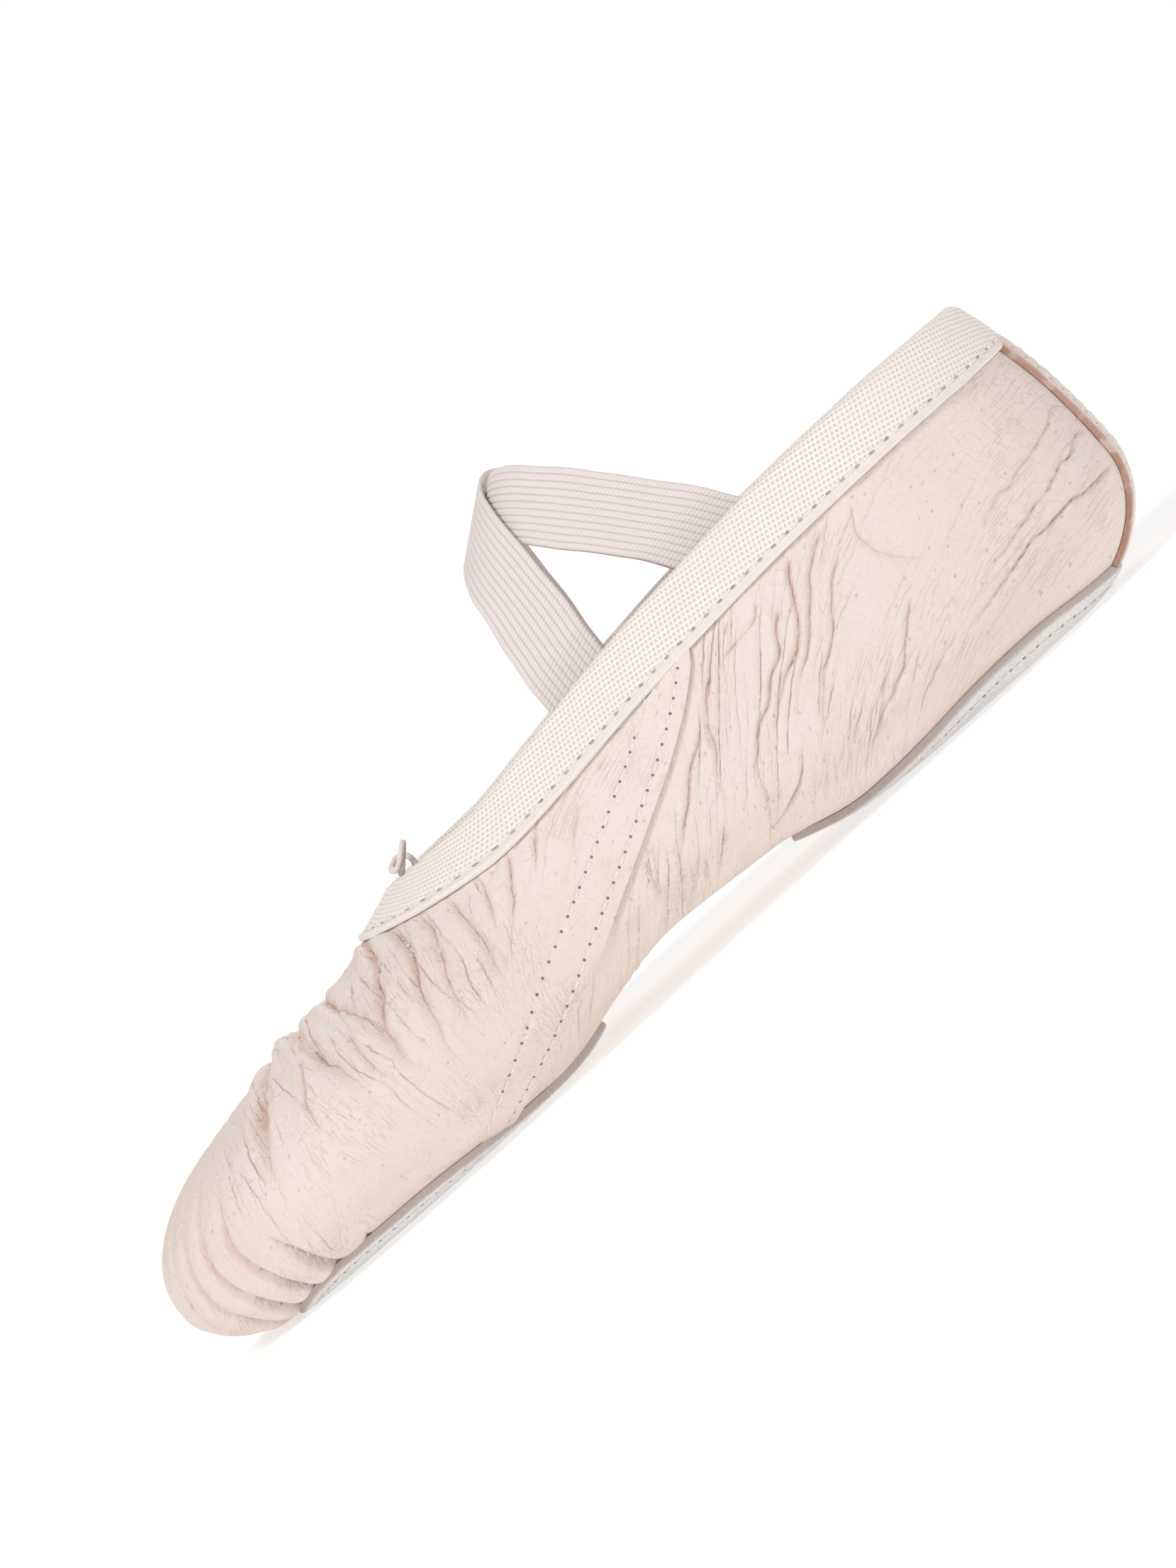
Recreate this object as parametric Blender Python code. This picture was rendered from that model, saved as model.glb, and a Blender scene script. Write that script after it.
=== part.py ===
"""Left split-sole ballet slipper of soft leather, standing empty on its two suede patches.

Run it with  blender --background --python part.py  or from Blender's text editor.

Frame: +Z up, the toe points to -Y and the heel to +Y, the outer (lateral) side of the foot faces +X.
The origin lies under the middle of the shoe's box, on the floor.
Sizes are in millimetres. A place along the shoe is its distance from the toe tip, "from_toe".
"""

import bmesh
import bpy
import numpy as np

MM = 0.001                  # one millimetre, in metres

# Driving sizes
LENGTH = 228.0              # toe tip to the back of the heel
WALL = 1.3                  # leather upper with its lining
SUEDE = 1.4                 # sole patches
INSOLE = 2.0                # padded insoles
STRIP_THICK = 1.0           # leather strip over the back seam
GAP = 0.3                   # room between two pieces that meet
PLANE = SUEDE + GAP         # height of the upper's flat underside
SOFTENING = 0.8             # how gradually the underside leaves that plane
MIDDLE_X = -0.4             # the middle of the shoe's box, across and along
MIDDLE_FROM_TOE = (LENGTH + GAP + STRIP_THICK) / 2

# Round ends of the last: how far each cap reaches from the tip, and how square it is
TOE_WIDTH_CAP, TOE_TOP_CAP, TOE_BOTTOM_CAP = 50.0, 30.0, 20.0
HEEL_WIDTH_CAP, HEEL_TOP_CAP, HEEL_BOTTOM_CAP = 40.0, 30.0, 27.0
END_ROUNDNESS = 2.0
TOP_END_ROUNDNESS = 2.2

# The last's cross-sections. centre is + towards the outer side; the heights are of the widest line, of the
# top of a foot in the shoe and of the underside; roundness 2 is an ellipse and more is squarer.
SECTION_COLUMNS = ("from_toe", "centre", "half_width", "widest", "top", "underside", "top_round", "low_round")
SECTIONS = (
    (0.0,   -6.5, 41.5, 13.5, 31.0, PLANE - 0.6, 2.3, 2.5),
    (20.0,  -4.0, 41.5, 14.0, 33.0, PLANE - 1.2, 2.3, 2.5),
    (40.0,  -1.6, 41.5, 15.0, 36.2, PLANE - 1.2, 2.2, 2.5),
    (60.0,  0.0,  41.5, 16.0, 39.8, PLANE - 1.2, 2.1, 2.5),
    (80.0,  0.8,  40.3, 16.5, 44.7, PLANE - 0.9, 2.0, 2.4),
    (97.0,  1.2,  38.8, 17.0, 52.0, PLANE + 2.6, 1.9, 2.3),
    (115.0, 1.6,  37.2, 17.5, 59.5, PLANE + 5.6, 1.85, 2.2),
    (135.0, 2.0,  36.0, 18.0, 66.0, PLANE + 4.2, 1.9, 2.2),
    (155.0, 2.3,  34.9, 18.8, 71.0, PLANE + 0.2, 2.0, 2.3),
    (175.0, 2.5,  33.6, 19.5, 74.0, PLANE - 1.2, 2.1, 2.3),
    (195.0, 2.5,  32.6, 20.0, 75.0, PLANE - 1.2, 2.2, 2.3),
    (228.0, 2.5,  32.0, 20.5, 75.0, PLANE - 1.2, 2.2, 2.3),
)

# Height of the leather's cut edge round the collar
TOPLINE_COLUMNS = ("from_toe", "height")
TOPLINE = (
    (80.0, 44.7),
    (98.0, 44.9),
    (115.0, 47.2),
    (133.0, 50.2),
    (155.0, 52.8),
    (175.0, 54.3),
    (200.0, 55.0),
    (228.0, 54.7),
)

# Sole patches, as leaves along the shoe: the two tips, the widest place and the half width there
FOREFOOT_PATCH = {"front": 17.0, "widest": 45.5, "rear": 92.0, "half_width": 31.8,
                  "front_power": (2.8, 1 / 2.8), "rear_power": (1.9, 0.75)}
HEEL_PATCH = {"front": 139.5, "widest": 187.0, "rear": 215.0, "half_width": 24.3,
              "front_power": (2.4, 1.0), "rear_power": (2.2, 1 / 2.2)}
SOLE_MARGIN = 9.0           # the upper reaches this far in over a patch, and is open inside that
INSOLE_MARGIN = 3.0         # the insole is this much smaller than the patch, all round
INSOLE_GAP = 0.55           # it bridges the bend of the lining

# Binding tape, folded over the collar's edge
TAPE = 0.8
TAPE_GAP = 0.35             # between the tape and the leather outside
LINING_GAP = 0.6            # and inside, where the lining bends in flats
CHANNEL = 0.8               # room over the leather's cut edge, where the drawstring runs
TAPE_OUTSIDE = 10.5
TAPE_INSIDE = 9.0

# Strip over the back seam
STRIP_HALF_WIDTH = 10.0
STRIP_FOOT = 3.6            # height of its lower end, just over the heel patch

# Elastic straps. They lie on the front of an ankle, taken as a rounded ridge that leans back from the instep.
ELASTIC = 1.0
ELASTIC_HALF_WIDTH = 7.0
CROSSING_FROM_TOE, CROSSING_HEIGHT = 136.5, 83.0
RIDGE_LEAN = 38.0           # degrees above the floor, rising to the heel
RIDGE_HALF_WIDTH = 22.2
RIDGE_DEPTH = 44.0
RIDGE_ROUNDNESS = 2.6
# route of one strap on that ridge: across is round the ankle (+ to the side that it starts from, at the
# rear), along is up the ridge from the crossing
STRAP_COLUMNS = ("across", "along")
STRAP_ROUTE = (
    (70.0, 5.6),
    (57.0, 5.3),
    (36.0, 5.0),
    (16.0, 3.8),
    (0.0, 0.0),
    (-16.0, -9.6),
    (-36.0, -29.0),
    (-44.0, -38.0),
)

STRAP_SEAT_GAP = 0.5        # between the ends and the binding inside the collar
HELD_BELOW, FREE_ABOVE = 3.0, 8.0   # from the collar's edge: lower it lies on the collar, higher on the ankle
STRAP_GAP = 0.55            # between the two straps where they cross
LIFT_FULL, LIFT_ENDS = 20.0, 42.0   # the upper one is lifted over the lower one this far round the ankle

# Drawstring: the part that shows, from where it leaves the binding's fold at the throat
DRAWSTRING = 1.2
DRAWSTRING_COLUMNS = ("x", "from_toe", "height")
DRAWSTRING_ROUTE = (
    (-0.9, 82.5, 45.9),
    (-1.3, 83.7, 47.1),
    (-1.2, 85.3, 48.7),
    (-0.1, 86.7, 50.1),
    (1.8, 87.0, 50.4),
    (3.2, 85.8, 49.3),
    (3.1, 84.2, 48.0),
    (1.8, 83.1, 47.5),
    (0.1, 82.4, 47.7),
    (-1.9, 82.0, 48.0),
    (-3.9, 82.5, 48.5),
    (-5.0, 83.8, 49.0),
    (-4.7, 85.2, 48.6),
    (-3.6, 85.9, 47.4),
    (-2.9, 85.8, 45.7),
    (-2.5, 84.9, 43.8),
    (-2.2, 83.3, 42.2),
    (-1.9, 81.1, 41.2),
    (-1.6, 78.5, 40.3),
    (-1.3, 75.9, 39.3),
)

# Colours: base colour, roughness
LEATHER = ((0.83, 0.67, 0.59), 0.5)
SUEDE_GREY = ((0.60, 0.58, 0.56), 0.95)
COTTON = ((0.86, 0.77, 0.69), 0.9)
ELASTIC_PINK = ((0.85, 0.75, 0.72), 0.7)


# ---------------------------------------------------------------- the last

def smooth_table(columns, rows, wanted, at):
    """Reads one named column of a table at any place, with a cubic that never overshoots its rows."""
    table = np.array(rows, float)
    x, y = table[:, 0], table[:, columns.index(wanted)]
    run = np.diff(x)
    rise = np.diff(y) / run
    slope = np.zeros_like(y)
    slope[0], slope[-1] = rise[0], rise[-1]
    before, after = rise[:-1], rise[1:]
    weigh_before, weigh_after = run[:-1] + 2 * run[1:], 2 * run[:-1] + run[1:]
    same_way = before * after > 0
    safe_before, safe_after = np.where(same_way, before, 1), np.where(same_way, after, 1)
    mean = (weigh_before + weigh_after) / (weigh_before / safe_before + weigh_after / safe_after)
    slope[1:-1] = np.where(same_way, mean, 0)
    at = np.clip(np.asarray(at, float), x[0], x[-1])
    k = np.clip(np.searchsorted(x, at, side="right") - 1, 0, len(run) - 1)
    t = (at - x[k]) / run[k]
    return (y[k] * (1 + 2 * t) * (1 - t) ** 2 + slope[k] * run[k] * t * (1 - t) ** 2
            + y[k + 1] * t ** 2 * (3 - 2 * t) + slope[k + 1] * run[k] * t ** 2 * (t - 1))


def cap(distance, reach, roundness):
    """Share of full size at a distance from a round tip: 0 at the tip, 1 from reach on."""
    t = 1 - np.clip(distance / reach, 0, 1)
    return (1 - t ** roundness) ** (1 / roundness)


def section(from_toe):
    """Centre, half width, widest height, heights above and below it, and both roundnesses, at each place."""
    s = np.clip(np.asarray(from_toe, float), 0, LENGTH)
    centre, half_width, widest, top, low, top_round, low_round = (
        smooth_table(SECTION_COLUMNS, SECTIONS, name, s) for name in SECTION_COLUMNS[1:])
    to_heel = LENGTH - s
    width = half_width * cap(s, TOE_WIDTH_CAP, END_ROUNDNESS) * cap(to_heel, HEEL_WIDTH_CAP, END_ROUNDNESS)
    above = ((top - widest) * cap(s, TOE_TOP_CAP, TOP_END_ROUNDNESS)
             * cap(to_heel, HEEL_TOP_CAP, TOP_END_ROUNDNESS))
    below = ((widest - low) * cap(s, TOE_BOTTOM_CAP, END_ROUNDNESS)
             * cap(to_heel, HEEL_BOTTOM_CAP, END_ROUNDNESS))
    return centre, width, widest, above, below, top_round, low_round


def flattened(height):
    """Lifts what would lie under the shoe's plane up to it, leaving the plane along a short parabola."""
    t = height - PLANE
    bend = (t + SOFTENING) ** 2 / (4 * SOFTENING)
    return PLANE + np.where(t > SOFTENING, t, np.where(t < -SOFTENING, 0, bend))


def collar_height(from_toe):
    return smooth_table(TOPLINE_COLUMNS, TOPLINE, "height", from_toe)


def collar_share(from_toe):
    """Height of the collar's edge as a share of the last's height above its widest line. 1 is closed."""
    _, _, widest, above, _, _, _ = section(from_toe)
    return (collar_height(from_toe) - widest) / np.maximum(above, 1e-6)


def halfway(test, low, high):
    """The place between low and high where test changes, found by halving."""
    for _ in range(50):
        middle = (low + high) / 2
        if test(middle) == test(low):
            low = middle
        else:
            high = middle
    return (low + high) / 2


def is_closed(from_toe):
    return bool(collar_share(from_toe) >= 1)


THROAT = halfway(is_closed, 60.0, 120.0)
COLLAR_BACK = halfway(is_closed, 200.0, LENGTH - 0.5)


def last_points(from_toe, angle, side):
    """Points of the last's skin. angle is -90 degrees at the underside's middle, 0 at the widest line, and
    90 degrees at the top. A section is two half superellipses, with its underside flattened on the plane."""
    centre, width, widest, above, below, top_round, low_round = section(from_toe)
    power = 2 / np.where(angle > 0, top_round, low_round)
    reach = np.where(angle > 0, above, below)
    cosine, sine = np.maximum(np.cos(angle), 0), np.sin(angle)
    x = centre + side * width * cosine ** power
    z = flattened(widest + reach * np.sign(sine) * np.abs(sine) ** power)
    return np.stack([x, from_toe + 0 * angle, z], -1)


def underside(x, from_toe):
    """Height of the last's underside under a point of the plan."""
    centre, width, widest, _, below, _, low_round = section(from_toe)
    share = np.clip(np.abs(x - centre) / np.maximum(width, 1e-6), 0, 1)
    return flattened(widest - below * (1 - share ** low_round) ** (1 / low_round))


def side_of_last(side, from_toe, height):
    """x of the last's skin above its widest line, at a place and height."""
    centre, width, widest, above, _, top_round, _ = section(from_toe)
    share = np.clip((height - widest) / np.maximum(above, 1e-6), 0, 1)
    return centre + side * width * (1 - share ** top_round) ** (1 / top_round)


def outside(points):
    """Below 0 inside the last, 0 on its skin, and above 0 outside it."""
    x, s, z = points[..., 0], points[..., 1], points[..., 2]
    centre, width, widest, above, below, top_round, low_round = section(s)
    high = z > widest
    roundness = np.where(high, top_round, low_round)
    reach = np.where(high, above, below)
    share = (np.abs(x - centre) / width) ** roundness + (np.abs(z - widest) / reach) ** roundness
    return share ** (1 / roundness) - 1


def slope_of(function, points, step=0.02):
    """Gradient of a function of points, by central differences."""
    parts = []
    for axis in np.eye(3):
        parts.append((function(points + step * axis) - function(points - step * axis)) / (2 * step))
    return np.stack(parts, -1)


def unit(vectors):
    return vectors / np.linalg.norm(vectors, axis=-1, keepdims=True)


def skin_normal(points):
    return unit(slope_of(outside, points))


def settled(points):
    """Moves points straight onto the last's skin."""
    for _ in range(8):
        slope = slope_of(outside, points)
        points = points - (outside(points) / (slope ** 2).sum(-1))[..., None] * slope
    return points


def heel_back(x, height):
    """from_toe of the heel's back at a point seen from behind, found by halving."""
    low = np.full(np.shape(x), LENGTH - HEEL_TOP_CAP)
    high = np.full(np.shape(x), LENGTH)
    for _ in range(40):
        middle = (low + high) / 2
        inside = outside(np.stack([x, middle, height], -1)) < 0
        low, high = np.where(inside, middle, low), np.where(inside, high, middle)
    return (low + high) / 2


# ---------------------------------------------------------------- meshes

def clear_scene():
    for thing in list(bpy.data.objects):
        bpy.data.objects.remove(thing)


def material(name, look):
    colour, roughness = look
    made = bpy.data.materials.new(name)
    made.use_nodes = True
    shader = made.node_tree.nodes["Principled BSDF"]
    shader.inputs["Base Color"].default_value = (*colour, 1)
    shader.inputs["Roughness"].default_value = roughness
    shader.inputs["Metallic"].default_value = 0
    return made


def add_object(name, data, look):
    made = bpy.data.objects.new(name, data)
    bpy.context.scene.collection.objects.link(made)
    if look:
        data.materials.append(material(name, look))
    return made


def framed(points):
    """Takes (x, from_toe, height) in millimetres into the frame, in metres."""
    return (np.asarray(points, float) - [MIDDLE_X, MIDDLE_FROM_TOE, 0]) * MM


def add_mesh(name, points, faces, look):
    """A mesh of points given as (x, from_toe, height), with its faces turned outwards."""
    placed = framed(points)
    data = bpy.data.meshes.new(name)
    data.from_pydata(placed.tolist(), [], faces)
    shell = bmesh.new()
    shell.from_mesh(data)
    bmesh.ops.recalc_face_normals(shell, faces=shell.faces)
    shell.to_mesh(data)
    shell.free()
    data.shade_smooth()
    data.set_sharp_from_angle(angle=np.radians(40))
    return add_object(name, data, look)


def grid_faces(index):
    """Quads of an index grid, turned to triangles where two corners are one vertex."""
    faces = []
    for row, after in zip(index[:-1], index[1:]):
        for a, b, c, d in zip(row[:-1], row[1:], after[1:], after[:-1]):
            corners = list(dict.fromkeys((int(a), int(b), int(c), int(d))))
            if len(corners) > 2:
                faces.append(corners)
    return faces


def spread(low, high, steps):
    """Places from low to high, closer together at both ends."""
    return low + (high - low) * (1 - np.cos(np.pi * np.arange(steps + 1) / steps)) / 2


def slab(name, inner, outer, look):
    """A closed plate between two equal grids of points, whose first and last rows may be single points."""
    rows, columns = inner.shape[:2]
    index = np.arange(rows * columns).reshape(rows, columns)
    for end in (0, -1):
        if np.ptp(inner[end], axis=0).max() < 1e-6:
            index[end] = index[end][0]
    under = index + rows * columns
    faces = grid_faces(index) + [face[::-1] for face in grid_faces(under)]
    rim = np.concatenate([index[0], index[1:, -1], index[-1, -2::-1], index[-2::-1, 0]])
    rim_under = np.concatenate([under[0], under[1:, -1], under[-1, -2::-1], under[-2::-1, 0]])
    faces += [face[::-1] for face in grid_faces(np.stack([rim, rim_under]))]
    points = np.concatenate([outer.reshape(-1, 3), inner.reshape(-1, 3)])
    return add_compact(name, points, faces, look)


def add_compact(name, points, faces, look):
    """add_mesh without the points that no face uses."""
    used = sorted({corner for face in faces for corner in face})
    place = {old: new for new, old in enumerate(used)}
    faces = [[place[corner] for corner in face] for face in faces]
    return add_mesh(name, points[used], faces, look)


def tube(name, rings, look):
    """A closed ring of equal profiles, each a loop of points."""
    count, around = rings.shape[:2]
    index = np.arange(count * around).reshape(count, around)
    index = np.concatenate([index, index[:1]])
    index = np.concatenate([index, index[:, :1]], 1)
    return add_mesh(name, rings.reshape(-1, 3), grid_faces(index), look)


# ---------------------------------------------------------------- upper

TOE_ROWS, OPEN_ROWS, HEEL_ROWS = 14, 21, 5
LOW_COLUMNS, HIGH_COLUMNS = 8, 8


def open_rows():
    return spread(THROAT, COLLAR_BACK, OPEN_ROWS)


def upper_rows():
    """Rows from the toe's tip to the heel's back, with one exactly at each end of the collar's opening."""
    toe = spread(0, THROAT, TOE_ROWS)[:-1]
    heel = LENGTH - (LENGTH - COLLAR_BACK) * (1 - np.sin(np.pi / 2 * np.arange(1, HEEL_ROWS + 1) / HEEL_ROWS))
    return np.concatenate([toe, open_rows(), heel])


def top_angle(from_toe):
    """Angle of the collar's edge in each section, or 90 degrees where the section is closed."""
    top_round = section(from_toe)[5]
    share = np.clip(collar_share(from_toe), 0, 1)
    return np.arcsin(share ** (top_round / 2))


def make_upper():
    """The leather shell: the last's skin, from the underside's middle up both sides to the collar's edge,
    thickened inwards. It is cut open over the middle of each sole patch."""
    rows = upper_rows()
    low = -np.pi / 2 * (1 - np.arange(LOW_COLUMNS) / LOW_COLUMNS)
    high = top_angle(rows)[:, None] * np.arange(HIGH_COLUMNS + 1) / HIGH_COLUMNS
    angles = np.concatenate([np.broadcast_to(low, (len(rows), LOW_COLUMNS)), high], 1)
    s = np.broadcast_to(rows[:, None], angles.shape)
    outer_side = last_points(s, angles, 1)
    inner_side = last_points(s, angles, -1)
    points = np.concatenate([inner_side[:, :0:-1], outer_side], 1)
    columns = points.shape[1]
    index = np.arange(len(rows) * columns).reshape(len(rows), columns)
    index[0], index[-1] = index[0, 0], index[-1, 0]
    closed = (rows <= THROAT) | (rows >= COLLAR_BACK)
    index[closed, -1] = index[closed, 0]
    upper = add_compact("upper", points.reshape(-1, 3), grid_faces(index), LEATHER)
    thicken = upper.modifiers.new("wall", "SOLIDIFY")
    thicken.thickness = WALL * MM
    thicken.offset = -1
    thicken.use_even_offset = True
    for name, patch in (("forefoot", FOREFOOT_PATCH), ("heel", HEEL_PATCH)):
        cut = upper.modifiers.new("open_" + name, "BOOLEAN")
        cut.object = make_sole_cutter("cutter_" + name, patch)
        cut.solver = "EXACT"
    return upper


# ---------------------------------------------------------------- sole patches and insoles

PATCH_ROWS = 16
SOLE_COLUMNS, INSOLE_COLUMNS = 10, 8


def patch_half_width(patch, from_toe):
    """Half width of a leaf-shaped patch: one superellipse ahead of the widest place and one behind it."""
    ahead = (patch["widest"] - from_toe) / (patch["widest"] - patch["front"])
    behind = (from_toe - patch["widest"]) / (patch["rear"] - patch["widest"])
    t = np.clip(np.where(ahead > 0, ahead, behind), 0, 1)
    power = np.where(ahead > 0, patch["front_power"][0], patch["rear_power"][0])
    root = np.where(ahead > 0, patch["front_power"][1], patch["rear_power"][1])
    return patch["half_width"] * (1 - t ** power) ** root


def shrunk(patch, margin):
    """The same leaf, smaller by a margin all round."""
    return {**patch, "front": patch["front"] + margin, "rear": patch["rear"] - margin,
            "half_width": patch["half_width"] - margin}


def patch_plan(patch, columns):
    """Plan positions over a patch, as rows across it from the front tip to the rear tip, closer together
    towards its edge."""
    s = spread(patch["front"], patch["rear"], PATCH_ROWS)
    across = spread(-1, 1, columns)
    centre = section(s)[0]
    x = centre[:, None] + patch_half_width(patch, s)[:, None] * across
    return x, np.broadcast_to(s[:, None], x.shape)


def underside_normal(x, from_toe, step=0.05):
    """Direction straight down and out of the last's underside."""
    tilt_x = (underside(x + step, from_toe) - underside(x - step, from_toe)) / (2 * step)
    tilt_s = (underside(x, from_toe + step) - underside(x, from_toe - step)) / (2 * step)
    return unit(np.stack([tilt_x, tilt_s, -np.ones_like(tilt_x)], -1))


def make_plate(name, patch, columns, depth_near, depth_far, look):
    """A plate under (or, with negative depths, over) the upper's underside, following it."""
    x, s = patch_plan(patch, columns)
    skin = np.stack([x, s, underside(x, s)], -1)
    out = underside_normal(x, s)
    return slab(name, skin + depth_near * out, skin + depth_far * out, look)


def make_sole_cutter(name, patch):
    """A prism that takes the upper's underside away over the middle of a patch."""
    x, s = patch_plan(shrunk(patch, SOLE_MARGIN), 1)
    reach_down, reach_up = -10.0, PLANE + WALL + 6.0
    top = np.stack([x, s, np.full_like(x, reach_up)], -1)
    bottom = np.stack([x, s, np.full_like(x, reach_down)], -1)
    cutter = slab(name, top, bottom, None)
    cutter.hide_render = True
    cutter.display_type = "WIRE"
    return cutter


def make_soles():
    for name, patch in (("sole_forefoot", FOREFOOT_PATCH), ("sole_heel", HEEL_PATCH)):
        make_plate(name, patch, SOLE_COLUMNS, GAP, GAP + SUEDE, SUEDE_GREY)


def make_insoles():
    for name, patch in (("insole_forefoot", FOREFOOT_PATCH), ("insole_heel", HEEL_PATCH)):
        rest = WALL + INSOLE_GAP
        make_plate(name, shrunk(patch, INSOLE_MARGIN), INSOLE_COLUMNS, -rest - INSOLE, -rest, COTTON)


# ---------------------------------------------------------------- binding

BINDING_STATIONS = 32


def collar_loop():
    """Points of the leather's cut edge, once round: from the throat along the outer side to the heel, and
    back along the inner side."""
    s = spread(THROAT, COLLAR_BACK, BINDING_STATIONS)
    sides = []
    for side, places in ((1, s[:-1]), (-1, s[:0:-1])):
        sides.append(last_points(places, top_angle(places), side))
    return np.concatenate(sides)


def collar_frames():
    """At each point of the collar's edge: the point, the skin's normal, and the way down along the skin."""
    edge = collar_loop()
    along = unit(np.roll(edge, -1, 0) - np.roll(edge, 1, 0))
    out = skin_normal(edge)
    down = unit(np.cross(along, out))
    return edge, out, down


def down_the_skin(distance, steps=6):
    """Points and normals of the skin at a distance below the collar's edge, walked in short steps."""
    point, out, down = collar_frames()
    for _ in range(steps):
        point = settled(point + down * distance / steps)
        out = skin_normal(point)
        down = unit(down - (down * out).sum(-1, keepdims=True) * out)
    return point, out


def make_binding():
    """Twill tape folded over the collar's edge, as one closed ring of inverted-U profiles."""
    near, far = TAPE_GAP, TAPE_GAP + TAPE
    inner_near, inner_far = -WALL - LINING_GAP, -WALL - LINING_GAP - TAPE
    halfway_out, shoulder = TAPE_OUTSIDE / 2, 0.2
    crown = -CHANNEL - TAPE
    profile = (
        (TAPE_OUTSIDE, far), (halfway_out, far), (0, far), (crown, shoulder),
        (crown, -WALL - shoulder), (0, inner_far), (TAPE_INSIDE, inner_far),
        (TAPE_INSIDE, inner_near), (-CHANNEL, inner_near),
        (-CHANNEL, near), (halfway_out, near), (TAPE_OUTSIDE, near),
    )
    edge, edge_out, edge_down = collar_frames()
    rings = []
    for below, off in profile:
        if below > 0:
            point, out = down_the_skin(below)
        else:
            point, out = edge + below * edge_down, edge_out
        rings.append(point + off * out)
    tube("binding", np.stack(rings, 1), COTTON)


# ---------------------------------------------------------------- strip over the back seam

STRIP_ROWS, STRIP_COLUMNS = 12, 6


def make_heel_strip():
    """Leather strip on the heel's back, from the binding's lower edge to the heel patch."""
    top = collar_height(COLLAR_BACK) - TAPE_OUTSIDE - GAP
    height = np.linspace(STRIP_FOOT, top, STRIP_ROWS + 1)
    across = np.linspace(-STRIP_HALF_WIDTH, STRIP_HALF_WIDTH, STRIP_COLUMNS + 1)
    x, z = np.meshgrid(section(LENGTH)[0] + across, height)
    skin = np.stack([x, heel_back(x, z), z], -1)
    step = 0.05
    lean_x = (heel_back(x + step, z) - heel_back(x - step, z)) / (2 * step)
    lean_z = (heel_back(x, z + step) - heel_back(x, z - step)) / (2 * step)
    out = unit(np.stack([-lean_x, np.ones_like(x), -lean_z], -1))
    slab("heel_strip", skin + GAP * out, skin + (GAP + STRIP_THICK) * out, LEATHER)


# ---------------------------------------------------------------- elastic straps

STRAP_STATIONS, STRAP_ACROSS = 30, 4
FINE_STEPS = 4              # steps of the worked-out route for each station of the band


def ridge_profile():
    """The ridge's half profile as arc length, sideways reach and depth: a superellipse, then straight."""
    angle = np.linspace(0, np.pi / 2, 200)
    power = 2 / RIDGE_ROUNDNESS
    x = RIDGE_HALF_WIDTH * np.sin(angle) ** power
    depth = RIDGE_DEPTH * (1 - np.cos(angle) ** power)
    x = np.append(x, RIDGE_HALF_WIDTH)
    depth = np.append(depth, RIDGE_DEPTH + 100)
    arc = np.concatenate([[0], np.cumsum(np.hypot(np.diff(x), np.diff(depth)))])
    return arc, x, depth


def on_ridge(across, along):
    """Points of the ridge from distances measured on its surface."""
    arc, x, depth = ridge_profile()
    lean = np.radians(RIDGE_LEAN)
    sideways = np.sign(across) * np.interp(np.abs(across), arc, x)
    sunk = np.interp(np.abs(across), arc, depth)
    s = CROSSING_FROM_TOE + along * np.cos(lean) + sunk * np.sin(lean)
    z = CROSSING_HEIGHT + along * np.sin(lean) - sunk * np.cos(lean)
    centre = section(CROSSING_FROM_TOE)[0]
    return np.stack([centre + sideways, s, z], -1)


def against_collar(points, depth):
    """The same places seen from the side, but on the inside of the collar's wall at a depth from its skin."""
    centre = section(CROSSING_FROM_TOE)[0]
    side = np.sign(points[..., 0] - centre)
    s, z = points[..., 1], points[..., 2]
    skin = np.stack([side_of_last(side, s, z), s, z], -1)
    return skin - depth * skin_normal(skin)


def eased(share):
    """0 below 0, 1 above 1, and a smooth rise between."""
    t = np.clip(share, 0, 1)
    return t * t * (3 - 2 * t)


def ridge_normal(across, along, step=0.05):
    """Direction out of the ridge, from how its points move with across and with along."""
    round_ankle = on_ridge(across + step, along) - on_ridge(across - step, along)
    up_ridge = on_ridge(across, along + step) - on_ridge(across, along - step)
    return unit(np.cross(round_ankle, up_ridge))


def strap_course(starts_on):
    """Stations down the middle of a strap, laid flat, and the direction across the band at each."""
    route = np.array(STRAP_ROUTE, float) * [starts_on, 1]
    leg = np.concatenate([[0], np.cumsum(np.hypot(*np.diff(route, axis=0).T))])
    path = np.linspace(0, leg[-1], STRAP_STATIONS * FINE_STEPS + 1)
    columns, table = ("leg", *STRAP_COLUMNS), np.column_stack([leg, route])
    middle = np.stack([smooth_table(columns, table, name, path) for name in STRAP_COLUMNS], -1)
    forward = unit(np.gradient(middle, axis=0))
    sideways = np.stack([-forward[:, 1], forward[:, 0]], -1) * starts_on
    return middle[::FINE_STEPS], sideways[::FINE_STEPS]


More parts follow.
